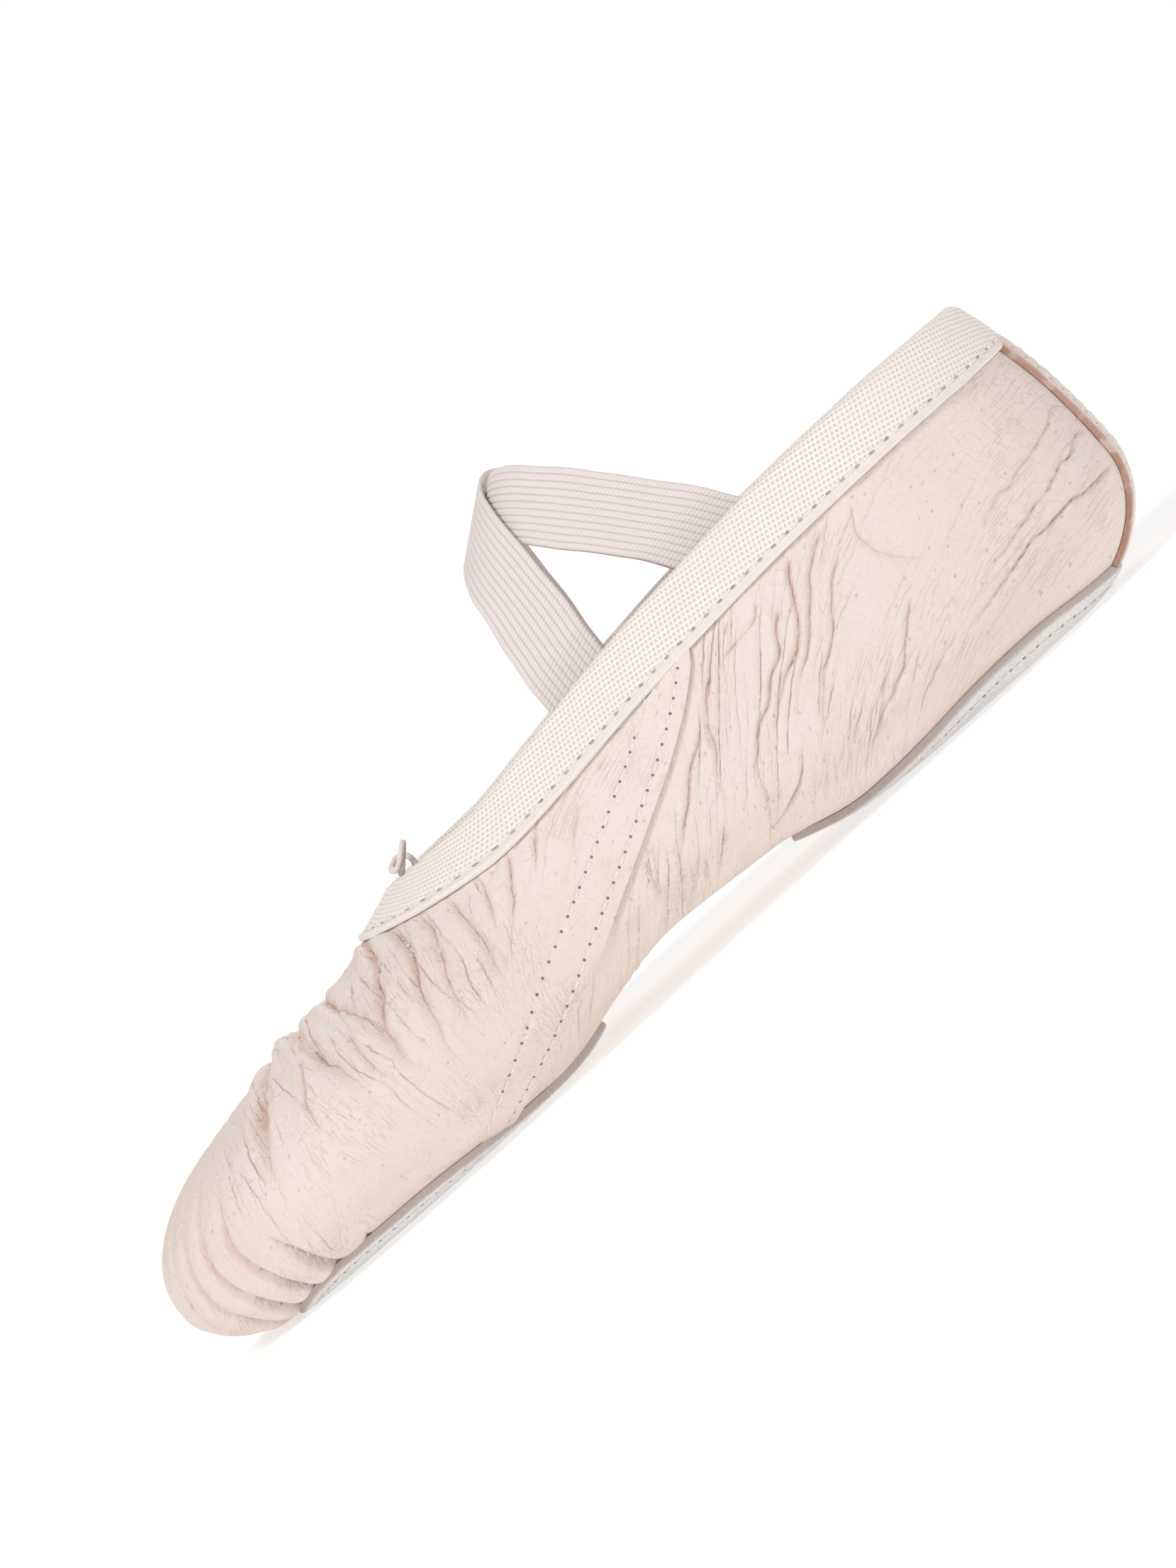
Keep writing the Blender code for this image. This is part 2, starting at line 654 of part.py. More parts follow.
def make_strap(name, starts_on, lift):
    """One flat elastic band: on the ridge, lifted off it by lift round the crossing, and against the collar's
    inside at its ends."""
    middle, sideways = strap_course(starts_on)
    width = np.linspace(-ELASTIC_HALF_WIDTH, ELASTIC_HALF_WIDTH, STRAP_ACROSS + 1)
    band = middle[:, None] + width[None, :, None] * sideways[:, None]
    across, along = band[..., 0], band[..., 1]
    ridge, out = on_ridge(across, along), ridge_normal(across, along)
    above_collar = ridge[..., 2] - collar_height(ridge[..., 1])
    free = eased((above_collar + HELD_BELOW) / (HELD_BELOW + FREE_ABOVE))[..., None]
    lifted = lift * eased((LIFT_ENDS - np.abs(across)) / (LIFT_ENDS - LIFT_FULL))[..., None]
    seat = WALL + LINING_GAP + TAPE + STRAP_SEAT_GAP
    faces = []
    for rise in (0, ELASTIC):
        loose = ridge + (lifted + rise) * out
        held = against_collar(ridge, seat + ELASTIC - rise)
        faces.append(free * loose + (1 - free) * held)
    slab(name, faces[0], faces[1], ELASTIC_PINK)


def make_straps():
    make_strap("strap_under", 1, 0.0)
    make_strap("strap_over", -1, ELASTIC + STRAP_GAP)


# ---------------------------------------------------------------- drawstring

def smooth_route(points, steps):
    """A smooth curve through the points, with steps between each two (Catmull and Rom's cubic)."""
    p = np.array(points, float)
    p = np.concatenate([[2 * p[0] - p[1]], p, [2 * p[-1] - p[-2]]])
    t = (np.arange(steps) / steps)[None, :, None]
    a, b, c, d = (p[k:len(p) - 3 + k][:, None] for k in range(4))
    curve = b + t / 2 * (c - a + t * (2 * a - 5 * b + 4 * c - d + t * (3 * (b - c) + d - a)))
    return np.concatenate([curve.reshape(-1, 3), p[-2:-1]])


def make_drawstring():
    """The elastic cord's knotted loop at the throat, out of the binding's fold and down behind it."""
    data = bpy.data.curves.new("drawstring", "CURVE")
    data.dimensions = "3D"
    data.bevel_depth = DRAWSTRING / 2 * MM
    data.bevel_resolution = 2
    data.use_fill_caps = True
    line = data.splines.new("POLY")
    places = framed(smooth_route(DRAWSTRING_ROUTE, 3))
    line.points.add(len(places) - 1)
    line.points.foreach_set("co", np.column_stack([places, np.ones(len(places))]).ravel())
    add_object("drawstring", data, ELASTIC_PINK)


# ---------------------------------------------------------------- the slipper

def main():
    clear_scene()
    make_upper()
    make_soles()
    make_insoles()
    make_binding()
    make_heel_strip()
    make_straps()
    make_drawstring()


main()
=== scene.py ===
"""Left split-sole ballet slipper: soft pink leather cut in three pieces, a woven binding with a drawstring in
its fold, crossed elastic straps, and a suede patch under the forefoot and under the heel.

Shapes are worked out in millimetres as (x, from_toe, height): x is across, + to the outer side of the foot,
from_toe is along the slipper from the toe's tip, and height is above the floor. framed() takes them into the
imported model's frame, in metres with the toe at -Y.
"""

import bmesh
import bpy
import numpy as np
from mathutils import Matrix, Vector


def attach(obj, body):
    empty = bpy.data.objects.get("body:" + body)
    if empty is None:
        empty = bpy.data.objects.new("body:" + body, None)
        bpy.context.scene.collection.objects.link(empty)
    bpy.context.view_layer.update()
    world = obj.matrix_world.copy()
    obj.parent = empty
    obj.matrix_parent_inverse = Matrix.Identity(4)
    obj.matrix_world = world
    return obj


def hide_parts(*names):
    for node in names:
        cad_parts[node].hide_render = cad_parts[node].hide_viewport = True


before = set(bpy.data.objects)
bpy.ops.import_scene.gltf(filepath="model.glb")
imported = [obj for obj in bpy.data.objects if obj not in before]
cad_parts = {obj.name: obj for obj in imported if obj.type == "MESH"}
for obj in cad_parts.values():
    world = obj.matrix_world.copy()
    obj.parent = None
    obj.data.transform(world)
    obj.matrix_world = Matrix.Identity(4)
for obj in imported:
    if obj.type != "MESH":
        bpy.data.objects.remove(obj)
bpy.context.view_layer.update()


# ---------------- camera
# It looks squarely at the outer side from just above the floor, turned so that the slipper points its toe
# down and lifts its heel, as on a dancer's foot.

AZIMUTH, ELEVATION, ROLL = np.radians([92, 2, -42])
LENS = 100.0
CAMERA_DISTANCE = 0.78
LOOKS_AT = Vector((0.0, 0.004, 0.036))

towards_camera = Vector((np.sin(AZIMUTH) * np.cos(ELEVATION), -np.cos(AZIMUTH) * np.cos(ELEVATION),
                         np.sin(ELEVATION)))
camera_data = bpy.data.cameras.new("camera")
camera_data.lens = LENS
camera = bpy.data.objects.new("camera", camera_data)
camera.matrix_world = (Matrix.Translation(LOOKS_AT + CAMERA_DISTANCE * towards_camera)
                       @ towards_camera.to_track_quat("Z", "Y").to_matrix().to_4x4()
                       @ Matrix.Rotation(ROLL, 4, "Z"))
bpy.context.scene.collection.objects.link(camera)
bpy.context.scene.camera = camera


# ---------------- drawstring
# A thin round elastic cord, two strands twisted together, runs in the binding's fold. Its knotted loop comes
# out at the throat, and its end goes back down behind the binding.

MM = 0.001
MIDDLE_X, MIDDLE_FROM_TOE = -0.4, 114.65  # the middle of the slipper's box
DRAWSTRING = 1.2
DRAWSTRING_ROUTE = (  # x, from_toe, height
    (-0.9, 82.5, 45.9), (-1.3, 83.7, 47.1), (-1.2, 85.3, 48.7), (-0.1, 86.7, 50.1), (1.8, 87.0, 50.4),
    (3.2, 85.8, 49.3), (3.1, 84.2, 48.0), (1.8, 83.1, 47.5), (0.1, 82.4, 47.7), (-1.9, 82.0, 48.0),
    (-3.9, 82.5, 48.5), (-5.0, 83.8, 49.0), (-4.7, 85.2, 48.6), (-3.6, 85.9, 47.4), (-2.9, 85.8, 45.7),
    (-2.5, 84.9, 43.8), (-2.2, 83.3, 42.2), (-1.9, 81.1, 41.2), (-1.6, 78.5, 40.3), (-1.3, 75.9, 39.3),
)
TWIST_LENGTH = 2.6  # of cord for one full turn of its strands
CORD_WAIST, STRAND_SWELL = 0.97, 0.07  # shares of the radius: between strands, and what one adds
CORD_END = 0.4  # length over which each end rounds off
CORD_COLOURS = (0.80, 0.68, 0.62, 1), (0.94, 0.88, 0.84, 1)


def framed(points):
    """Takes (x, from_toe, height) in millimetres into the frame, in metres."""
    return (np.asarray(points, float) - [MIDDLE_X, MIDDLE_FROM_TOE, 0]) * MM


def unit(vectors):
    return vectors / np.maximum(np.linalg.norm(vectors, axis=-1, keepdims=True), 1e-12)


def smooth_route(points, steps):
    """A smooth curve through the points, with steps between each two (Catmull and Rom's cubic)."""
    p = np.array(points, float)
    p = np.concatenate([[2 * p[0] - p[1]], p, [2 * p[-1] - p[-2]]])
    t = (np.arange(steps) / steps)[None, :, None]
    a, b, c, d = (p[k:len(p) - 3 + k][:, None] for k in range(4))
    curve = b + t / 2 * (c - a + t * (2 * a - 5 * b + 4 * c - d + t * (3 * (b - c) + d - a)))
    return np.concatenate([curve.reshape(-1, p.shape[1]), p[-2:-1]])


def distance_along(line):
    """How far each point of a line is from its start."""
    return np.concatenate([[0], np.cumsum(np.linalg.norm(np.diff(line, axis=0), axis=1))])


def read_along(line, along, at):
    """A line's values at some distances along it."""
    return np.stack([np.interp(at, along, line[:, axis]) for axis in range(line.shape[1])], -1)


def even_steps(line, count):
    """The same line as count points, all the same distance apart."""
    along = distance_along(line)
    return read_along(line, along, np.linspace(0, along[-1], count))


def pairs(rows, columns):
    """Each row's number with each column's, as a grid."""
    return np.stack(np.broadcast_arrays(rows[:, None], columns), -1)


def grid_faces(index):
    """Quads between the neighbours of an index grid, as an array."""
    return np.stack([index[:-1, :-1], index[:-1, 1:], index[1:, 1:], index[1:, :-1]], -1).reshape(-1, 4)


def tube_faces(index):
    """Quads between the rings of an index grid, each ring closed."""
    return grid_faces(np.concatenate([index, index[:, :1]], 1))


def add_piece(name, points, faces, finish, uv=None, **fields):
    """A piece made of points in millimetres. Points that coincide are joined, and the faces turned outwards.
    uv holds two distances for each point, along and across the cloth or the wrinkles, and each field holds
    one number for each point, which the finish reads under the field's name."""
    _, first, place = np.unique(np.round(points * 1000).astype(np.int64), axis=0,
                                return_index=True, return_inverse=True)
    place = place.ravel()
    joined = (dict.fromkeys(place[list(face)].tolist()) for face in faces)
    data = bpy.data.meshes.new(name)
    data.from_pydata(framed(points[first]), [], [list(face) for face in joined if len(face) > 2])
    turned = bmesh.new()
    turned.from_mesh(data)
    bmesh.ops.recalc_face_normals(turned, faces=turned.faces)
    turned.to_mesh(data)
    turned.free()
    if uv is not None:
        corner = np.zeros(len(data.loops), np.int32)
        data.loops.foreach_get("vertex_index", corner)
        data.uv_layers.new(name="along_and_across").uv.foreach_set("vector", (uv[first][corner] * MM).ravel())
    for field, values in fields.items():
        data.attributes.new(field, "FLOAT", "POINT").data.foreach_set("value", values[first])
    data.shade_smooth()
    data.set_sharp_from_angle(angle=np.radians(65))
    data.materials.append(finish)
    piece = bpy.data.objects.new(name, data)
    bpy.context.scene.collection.objects.link(piece)
    return piece


def new_finish(name, roughness, **values):
    """A material, its node tree and its shader. Values that are the same all over are set on the shader."""
    made = bpy.data.materials.new(name)
    made.use_nodes = True
    shader = made.node_tree.nodes["Principled BSDF"]
    shader.inputs["Roughness"].default_value = roughness
    for socket, value in values.items():
        shader.inputs[socket.replace("_", " ")].default_value = value
    return made, made.node_tree, shader


def add_node(tree, kind, wanted, **settings):
    """A node with its settings, and its inputs wired to sockets or set to values."""
    made = tree.nodes.new(kind)
    for setting, value in settings.items():
        setattr(made, setting, value)
    for socket, value in wanted.items():
        if isinstance(value, bpy.types.NodeSocket):
            tree.links.new(value, made.inputs[socket])
        else:
            made.inputs[socket].default_value = value
    return made


def maths(tree, operation, *values):
    return add_node(tree, "ShaderNodeMath", dict(enumerate(values)), operation=operation).outputs[0]


def times(tree, *values):
    return maths(tree, "MULTIPLY", *values)


def mixed(tree, share, one, other):
    """One colour where share is 0, and the other where it is 1."""
    return add_node(tree, "ShaderNodeMix", {0: share, 6: one, 7: other}, data_type="RGBA").outputs[2]


def ramped(tree, value, low, high):
    """0 where the value is low, 1 where it is high, and smooth between."""
    return add_node(tree, "ShaderNodeMapRange", {0: value, 1: low, 2: high},
                    interpolation_type="SMOOTHSTEP").outputs[0]


def noise(tree, where, scale, detail=2.0, **more):
    wanted = {"Vector": where, "Scale": scale, "Detail": detail, **more}
    return add_node(tree, "ShaderNodeTexNoise", wanted).outputs[0]


def stretched(tree, where, *scale):
    return add_node(tree, "ShaderNodeMapping", {"Vector": where, "Scale": scale}).outputs[0]


def place_on(tree, kind):
    """Where a point is: Object is its place in the frame, and UV its distances along and across."""
    return add_node(tree, "ShaderNodeTexCoord", {}).outputs[kind]


def dress(tree, shader, colour, height_mm):
    """Gives a finish's shader its colour, and a normal bent by a relief in millimetres."""
    bent = add_node(tree, "ShaderNodeBump", {"Height": height_mm, "Distance": MM, "Strength": 1.0})
    tree.links.new(colour, shader.inputs["Base Color"])
    tree.links.new(bent.outputs[0], shader.inputs["Normal"])


def make_drawstring(stations=320, round_it=16):
    """A tube round the route. Its radius swells twice round the cord, and that pattern turns along it, which
    makes the two twisted strands."""
    path = even_steps(smooth_route(DRAWSTRING_ROUTE, 12), stations)
    forward = unit(np.gradient(path, axis=0))
    across = np.zeros_like(path)
    across[0] = unit(np.cross(forward[0], [1, 0, 0]))
    for k in range(1, len(path)):
        across[k] = unit(across[k - 1] - (across[k - 1] @ forward[k]) * forward[k])
    beside = np.cross(forward, across)
    along = distance_along(path)
    around = np.linspace(0, 2 * np.pi, round_it + 1)[:-1]
    turn = around[None] - 2 * np.pi * along[:, None] / TWIST_LENGTH
    radius = DRAWSTRING / 2 * (CORD_WAIST + STRAND_SWELL * np.abs(np.cos(turn)))
    rounding = np.sqrt(np.clip(along / CORD_END, 0.05, 1) * np.clip((along[-1] - along) / CORD_END, 0.05, 1))
    ring = np.cos(around)[None, :, None] * across[:, None] + np.sin(around)[None, :, None] * beside[:, None]
    points = path[:, None] + (radius * rounding[:, None])[..., None] * ring
    index = np.arange(points[..., 0].size).reshape(points.shape[:2])
    faces = tube_faces(index).tolist() + [index[0], index[-1]]
    uv = pairs(along, around * DRAWSTRING / 2).reshape(-1, 2)

    finish, tree, shader = new_finish("drawstring_cord", 0.75, Sheen_Weight=0.2)
    where = place_on(tree, "UV")
    thread = noise(tree, stretched(tree, where, 2200, 700, 1), 1.0)
    dress(tree, shader, mixed(tree, thread, *CORD_COLOURS), times(tree, thread, 0.12))
    return add_piece("drawstring_loop", points.reshape(-1, 3), faces, finish, uv)


drawstring = make_drawstring()
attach(drawstring, "root")
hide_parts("drawstring")


# ---------------- vamp
# The front piece of soft leather. It wraps the toes, is gathered in pleats where it goes under the forefoot
# patch, and laps over the side pieces with its raw rear edge, behind two rows of stitching.

LENGTH = 228.0  # toe tip to the back of the heel
PLANE = 1.7  # height of the upper's flat underside
SOFTENING = 0.8  # how gradually the underside leaves that plane
TOE_WIDTH_CAP, TOE_TOP_CAP, TOE_BOTTOM_CAP = 50.0, 30.0, 20.0
HEEL_WIDTH_CAP, HEEL_TOP_CAP, HEEL_BOTTOM_CAP = 40.0, 30.0, 27.0
END_ROUNDNESS, TOP_END_ROUNDNESS = 2.0, 2.2

# Cross-sections of the last. Roundness 2 is an ellipse and more is squarer.
SECTION_COLUMNS = ("from_toe", "centre", "half_width", "widest", "top", "underside", "top_round", "low_round")
SECTIONS = (
    (0.0,   -6.5, 41.5, 13.5, 31.0, PLANE - 0.6, 2.3, 2.5),
    (20.0,  -4.0, 41.5, 14.0, 33.0, PLANE - 1.2, 2.3, 2.5),
    (40.0,  -1.6, 41.5, 15.0, 36.2, PLANE - 1.2, 2.2, 2.5),
    (60.0,  0.0,  41.5, 16.0, 39.8, PLANE - 1.2, 2.1, 2.5),
    (80.0,  0.8,  40.3, 16.5, 44.7, PLANE - 0.9, 2.0, 2.4),
    (97.0,  1.2,  38.8, 17.0, 52.0, PLANE + 2.6, 1.9, 2.3),
    (115.0, 1.6,  37.2, 17.5, 59.5, PLANE + 5.6, 1.85, 2.2),
    (135.0, 2.0,  36.0, 18.0, 66.0, PLANE + 4.2, 1.9, 2.2),
    (155.0, 2.3,  34.9, 18.8, 71.0, PLANE + 0.2, 2.0, 2.3),
    (175.0, 2.5,  33.6, 19.5, 74.0, PLANE - 1.2, 2.1, 2.3),
    (195.0, 2.5,  32.6, 20.0, 75.0, PLANE - 1.2, 2.2, 2.3),
    (228.0, 2.5,  32.0, 20.5, 75.0, PLANE - 1.2, 2.2, 2.3),
)
TOPLINE = (  # from_toe and height of the leather's edge round the collar
    (80.0, 44.7), (98.0, 44.9), (115.0, 47.2), (133.0, 50.2), (155.0, 52.8), (175.0, 54.3), (200.0, 55.0),
    (228.0, 54.7),
)
FOREFOOT_PATCH = {"front": 17.0, "widest": 45.5, "rear": 92.0, "half_width": 31.8,
                  "front_power": (2.8, 1 / 2.8), "rear_power": (1.9, 0.75)}
HEEL_PATCH = {"front": 139.5, "widest": 187.0, "rear": 215.0, "half_width": 24.3,
              "front_power": (2.4, 1.0), "rear_power": (2.2, 1 / 2.2)}
PATCH_BELOW = 12.0  # height that every patch lies under
OPEN_INSIDE = 9.0  # the leather reaches this far in over a patch
TAPE_OUTSIDE = 10.5  # width of the binding on the outside, which covers the leather's edge

LEATHER = 0.8
OUTER, INNER = 1, -1  # the two sides of the foot
SEAM_EDGE = (  # from_toe and height of the raw edge, down the side
    (150.0, 46.0), (147.0, 41.0), (142.0, 36.6), (133.0, 30.6), (122.0, 24.6), (110.0, 18.4), (99.0, 13.2),
    (89.0, 9.0), (81.0, 6.0), (75.5, 4.2),
)
SEAM_TOP, SEAM_BOTTOM = 152.0, 60.0  # from_toe where it goes under the binding and the patch
SEAM_ROWS = (2.2, 7.4)  # stitching, ahead of the edge
STITCH_PITCH = 2.8
LAP, LAP_REACH = 0.95, 9.5  # how much the vamp stands up where it lies on the side pieces, and how far ahead
SEAM_PULL = 0.16  # how deep its stitching is drawn in
FLOOR_ROOM = 0.3  # the vamp stays this far off the floor

# Folds that wear has left on each side, each with its depth, its width and its course in from_toe and height.
# Where a height is above the slipper, the fold is on the top's middle line there.
OUTER_FOLDS = (
    (2.9, 2.1, ((44.0, 90), (42, 36), (38.5, 31.5), (35.5, 27), (34, 22), (34, 18))),
    (1.8, 1.7, ((49.5, 90), (50.5, 37.4), (53, 33.5), (55.5, 29.5), (57, 24), (56.5, 17.5))),
    (1.0, 1.3, ((57, 90), (60, 37.5), (64, 33), (66, 28), (66.5, 22), (67.5, 14.5))),
    (1.5, 1.2, ((70.5, 43), (71, 38.5), (68.5, 33), (66, 29), (65.5, 24), (67, 19), (67, 13.5))),
    (1.2, 1.1, ((75, 43), (77.5, 37), (75.5, 31), (73.5, 25), (72.5, 20), (73, 14), (74, 11))),
    (0.9, 0.9, ((83, 41), (82.5, 36), (80.5, 30), (79, 25), (78, 18.5))),
    (0.8, 0.8, ((88.5, 41), (88.5, 35), (89, 31), (88, 26), (87, 21), (87.5, 16))),
    (0.6, 0.7, ((94, 41), (94.5, 36), (93, 31.5), (91, 27))),
    (0.7, 0.8, ((102, 40), (100.5, 36), (98, 32), (94.5, 27.5))),
    (0.5, 0.7, ((116, 36), (112, 32), (107, 28), (101, 23.5))),
    (0.5, 0.6, ((109, 39), (106, 35.5), (102.5, 31.5))),
    (0.6, 0.8, ((50, 34), (47.5, 30), (46.5, 26), (47, 21))),
    (0.5, 0.7, ((60.5, 32), (60, 28), (61.5, 23), (61, 19))),
)
INNER_FOLDS = (
    (2.8, 2.0, ((44.0, 90), (43.0, 35.8), (40.5, 31.5), (37, 27), (36, 21))),
    (1.7, 1.6, ((49.5, 90), (51.0, 37), (54, 32.5), (56.5, 27), (56, 20), (57, 15))),
    (0.9, 1.2, ((57, 90), (58.5, 38), (62, 34), (65, 29), (64, 22), (65.5, 17))),
    (1.3, 1.2, ((72, 43), (71, 38), (69.5, 33.5), (69, 27), (67, 21), (68, 14))),
    (1.0, 1.1, ((77, 43), (78, 37), (76, 32), (76, 25), (74, 19), (75, 14))),
    (0.7, 0.8, ((86, 41), (87.5, 35), (86, 29), (85, 22), (86, 17))),
    (0.6, 0.7, ((95, 41), (96, 36), (94, 31), (92, 26))),
    (0.5, 0.7, ((106, 39), (104, 35), (99.5, 30), (96, 25.5))),
)
PLEAT_CENTRE = (-3.5, 43.0)  # x and from_toe of the point that the pleats spread from
PLEAT_ANGLES = (-78, -64, -52, -40, -27.5, -16, -3.5, 9, 20, 33, 44.5, 57, 69.5, 83)
PLEAT_FADES = (1, 15, 22, 28, 24, 30, 33, 27, 31, 36, 33, 28, 17, 1)  # how far each groove reaches
PLEAT_PUFF, PLEAT_GROOVE = 2.6, 1.2  # how far the leather puffs up between two, and their depth
PLEATS_BELOW = 38.0  # height that they end at

VAMP_ROWS, VAMP_COLUMNS = (192, 132), 160  # rows from the toe to the throat, and on to the rear edge
VAMP_EVEN_AT = 60.0  # from_toe where its columns are evenly spaced
CREASE_DEPTH, FINE_DEPTH = 0.34, 0.12  # of the creases, and of the fine ones between them
WRINKLE_LEANS = (  # how far the wrinkles lean: from_toe, and millimetres along for each one up
    (20, 0.1), (36, 0.25), (50, -0.25), (66, -0.1), (80, 0.05), (97, 0.55), (107, 1.0), (130, 1.9),
)

LEATHER_COLOURS = (0.845, 0.738, 0.668, 1), (0.825, 0.695, 0.618, 1)
# The fold colour is painted shade, laid in the depth of folds, pleat grooves and stitching furrows.
FOLD_SHADE, HAIRLINE_BROWN, PORE_BROWN = (0.70, 0.45, 0.36, 1), (0.60, 0.40, 0.32, 1), (0.56, 0.34, 0.24, 1)
# The crease colour is for thin lines down folds and creases: partly the creased finish, partly painted shade
# in their troughs.
# The hole colour is painted shade in the needle holes.
CREASE_MARK_AND_SHADE, CUT_BROWN, HOLE_SHADE = (0.47, 0.26, 0.185, 1), (0.50, 0.27, 0.20, 1), (0.19, 0.10, 0.07, 1)
# These lines are partly the creased finish and partly painted shade in the troughs.
CREASE_LINES = (  # the fields of a line's strength and distance, its half width and its weight
    ("fold", "from_fold", 0.27, 1.0), ("wear", "from_crease", 0.24, 0.95),
    ("fine_wear", "from_fine", 0.17, 0.55),
)


def smooth_table(columns, rows, wanted, at):
    """Reads one named column of a table at any place, with a cubic that never overshoots its rows."""
    table = np.array(rows, float)
    x, y = table[:, 0], table[:, columns.index(wanted)]
    run = np.diff(x)
    rise = np.diff(y) / run
    slope = np.zeros_like(y)
    slope[0], slope[-1] = rise[0], rise[-1]
    before, after = rise[:-1], rise[1:]
    weigh_before, weigh_after = run[:-1] + 2 * run[1:], 2 * run[:-1] + run[1:]
    same_way = before * after > 0
    safe_before, safe_after = np.where(same_way, before, 1), np.where(same_way, after, 1)
    mean = (weigh_before + weigh_after) / (weigh_before / safe_before + weigh_after / safe_after)
    slope[1:-1] = np.where(same_way, mean, 0)
    at = np.clip(np.asarray(at, float), x[0], x[-1])
    k = np.clip(np.searchsorted(x, at, side="right") - 1, 0, len(run) - 1)
    t = (at - x[k]) / run[k]
    return (y[k] * (1 + 2 * t) * (1 - t) ** 2 + slope[k] * run[k] * t * (1 - t) ** 2
            + y[k + 1] * t ** 2 * (3 - 2 * t) + slope[k + 1] * run[k] * t ** 2 * (t - 1))


def cap(distance, reach, roundness):
    """Share of full size at a distance from a round tip: 0 at the tip, 1 from reach on."""
    t = 1 - np.clip(distance / reach, 0, 1)
    return (1 - t ** roundness) ** (1 / roundness)


def section(from_toe):
    """Centre, half width, widest height, heights above and below it, and both roundnesses, at each place."""
    s = np.clip(np.asarray(from_toe, float), 0, LENGTH)
    centre, half_width, widest, top, low, top_round, low_round = (
        smooth_table(SECTION_COLUMNS, SECTIONS, name, s) for name in SECTION_COLUMNS[1:])
    to_heel = LENGTH - s
    width = half_width * cap(s, TOE_WIDTH_CAP, END_ROUNDNESS) * cap(to_heel, HEEL_WIDTH_CAP, END_ROUNDNESS)
    above = ((top - widest) * cap(s, TOE_TOP_CAP, TOP_END_ROUNDNESS)
             * cap(to_heel, HEEL_TOP_CAP, TOP_END_ROUNDNESS))
    below = ((widest - low) * cap(s, TOE_BOTTOM_CAP, END_ROUNDNESS)
             * cap(to_heel, HEEL_BOTTOM_CAP, END_ROUNDNESS))
    return centre, width, widest, above, below, top_round, low_round


def flattened(height):
    """Lifts what would lie under the slipper's plane up to it, leaving the plane along a short parabola."""
    t = height - PLANE
    bend = (t + SOFTENING) ** 2 / (4 * SOFTENING)
    return PLANE + np.where(t > SOFTENING, t, np.where(t < -SOFTENING, 0, bend))


def collar_height(from_toe):
    return smooth_table(("from_toe", "height"), TOPLINE, "height", from_toe)


def collar_share(from_toe):
    """Height of the collar's edge as a share of the last's height above its widest line. 1 is closed."""
    _, _, widest, above, _, _, _ = section(from_toe)
    return (collar_height(from_toe) - widest) / np.maximum(above, 1e-6)


def halfway(test, low, high):
    """The place between low and high where test changes, found by halving."""
    for _ in range(50):
        middle = (low + high) / 2
        if test(middle) == test(low):
            low = middle
        else:
            high = middle
    return (low + high) / 2


def is_closed(from_toe):
    return bool(collar_share(from_toe) >= 1)


THROAT = halfway(is_closed, 60.0, 120.0)
COLLAR_BACK = halfway(is_closed, 200.0, LENGTH - 0.5)


def skin(from_toe, wrap, side):
    """Points of the last's skin. wrap goes round half a section: 0 at the collar's edge, or at the top where
    the section is closed, 1 at the widest line and 2 at the underside's middle. A section is two half
    superellipses, with its underside flattened on the plane."""
    centre, width, widest, above, below, top_round, low_round = section(from_toe)
    top_angle = np.arcsin(np.clip(collar_share(from_toe), 0, 1) ** (top_round / 2))
    angle = np.where(wrap < 1, (1 - wrap) * top_angle, (1 - wrap) * np.pi / 2)
    power = 2 / np.where(angle > 0, top_round, low_round)
    reach = np.where(angle > 0, above, below)
    cosine, sine = np.maximum(np.cos(angle), 0), np.sin(angle)
    x = centre + side * width * cosine ** power
    z = flattened(widest + reach * np.sign(sine) * np.abs(sine) ** power)
    return np.stack(np.broadcast_arrays(x, from_toe, z), -1)


def outside(points):
    """Below 0 inside the last, 0 on its skin, and above 0 outside it."""
    x, s, z = points[..., 0], points[..., 1], points[..., 2]
    centre, width, widest, above, below, top_round, low_round = section(s)
    high = z > widest
    roundness = np.where(high, top_round, low_round)
    reach = np.where(high, above, below)
    share = (np.abs(x - centre) / width) ** roundness + (np.abs(z - widest) / reach) ** roundness
    return share ** (1 / roundness) - 1


def slope_of(function, points, step=0.02):
    """Gradient of a function of points, by central differences."""
    return np.stack([(function(points + step * axis) - function(points - step * axis)) / (2 * step)
                     for axis in np.eye(3)], -1)


def skin_normal(points):
    return unit(slope_of(outside, points))


def moved_out(points, normals, by):
    """The points, moved along their normals. Below 0 they move inwards."""
    return points + by[..., None] * normals


def settled(points):
    """Moves points straight onto the last's skin."""
    for _ in range(8):
        slope = slope_of(outside, points)
        points = points - (outside(points) / (slope ** 2).sum(-1))[..., None] * slope
    return points


def eased(share):
    """0 below 0, 1 above 1, and a smooth rise between."""
    t = np.clip(share, 0, 1)
    return t * t * (3 - 2 * t)


def wrap_at(from_toe, height):
    """How far round the section a place on the side is, as skin() counts it."""
    _, _, widest, above, below, top_round, low_round = section(from_toe)
    top_angle = np.arcsin(np.clip(collar_share(from_toe), 0, 1) ** (top_round / 2))
    up = np.arcsin(np.clip((height - widest) / above, 0, 1) ** (top_round / 2))
    down = np.arcsin(np.clip((widest - height) / below, 0, 1) ** (low_round / 2))
    return np.where(height > widest, 1 - up / top_angle, 1 + down / (np.pi / 2))


def seam_from_toe(wrap):
    """Where the vamp's rear edge is, all the way round."""
    places, heights = np.array(SEAM_EDGE).T
    rows = np.column_stack([wrap_at(places, heights), places])
    rows = np.concatenate([[[0, SEAM_TOP]], rows, [[2, SEAM_BOTTOM]]])
    return smooth_table(("wrap", "from_toe"), rows, "from_toe", wrap)


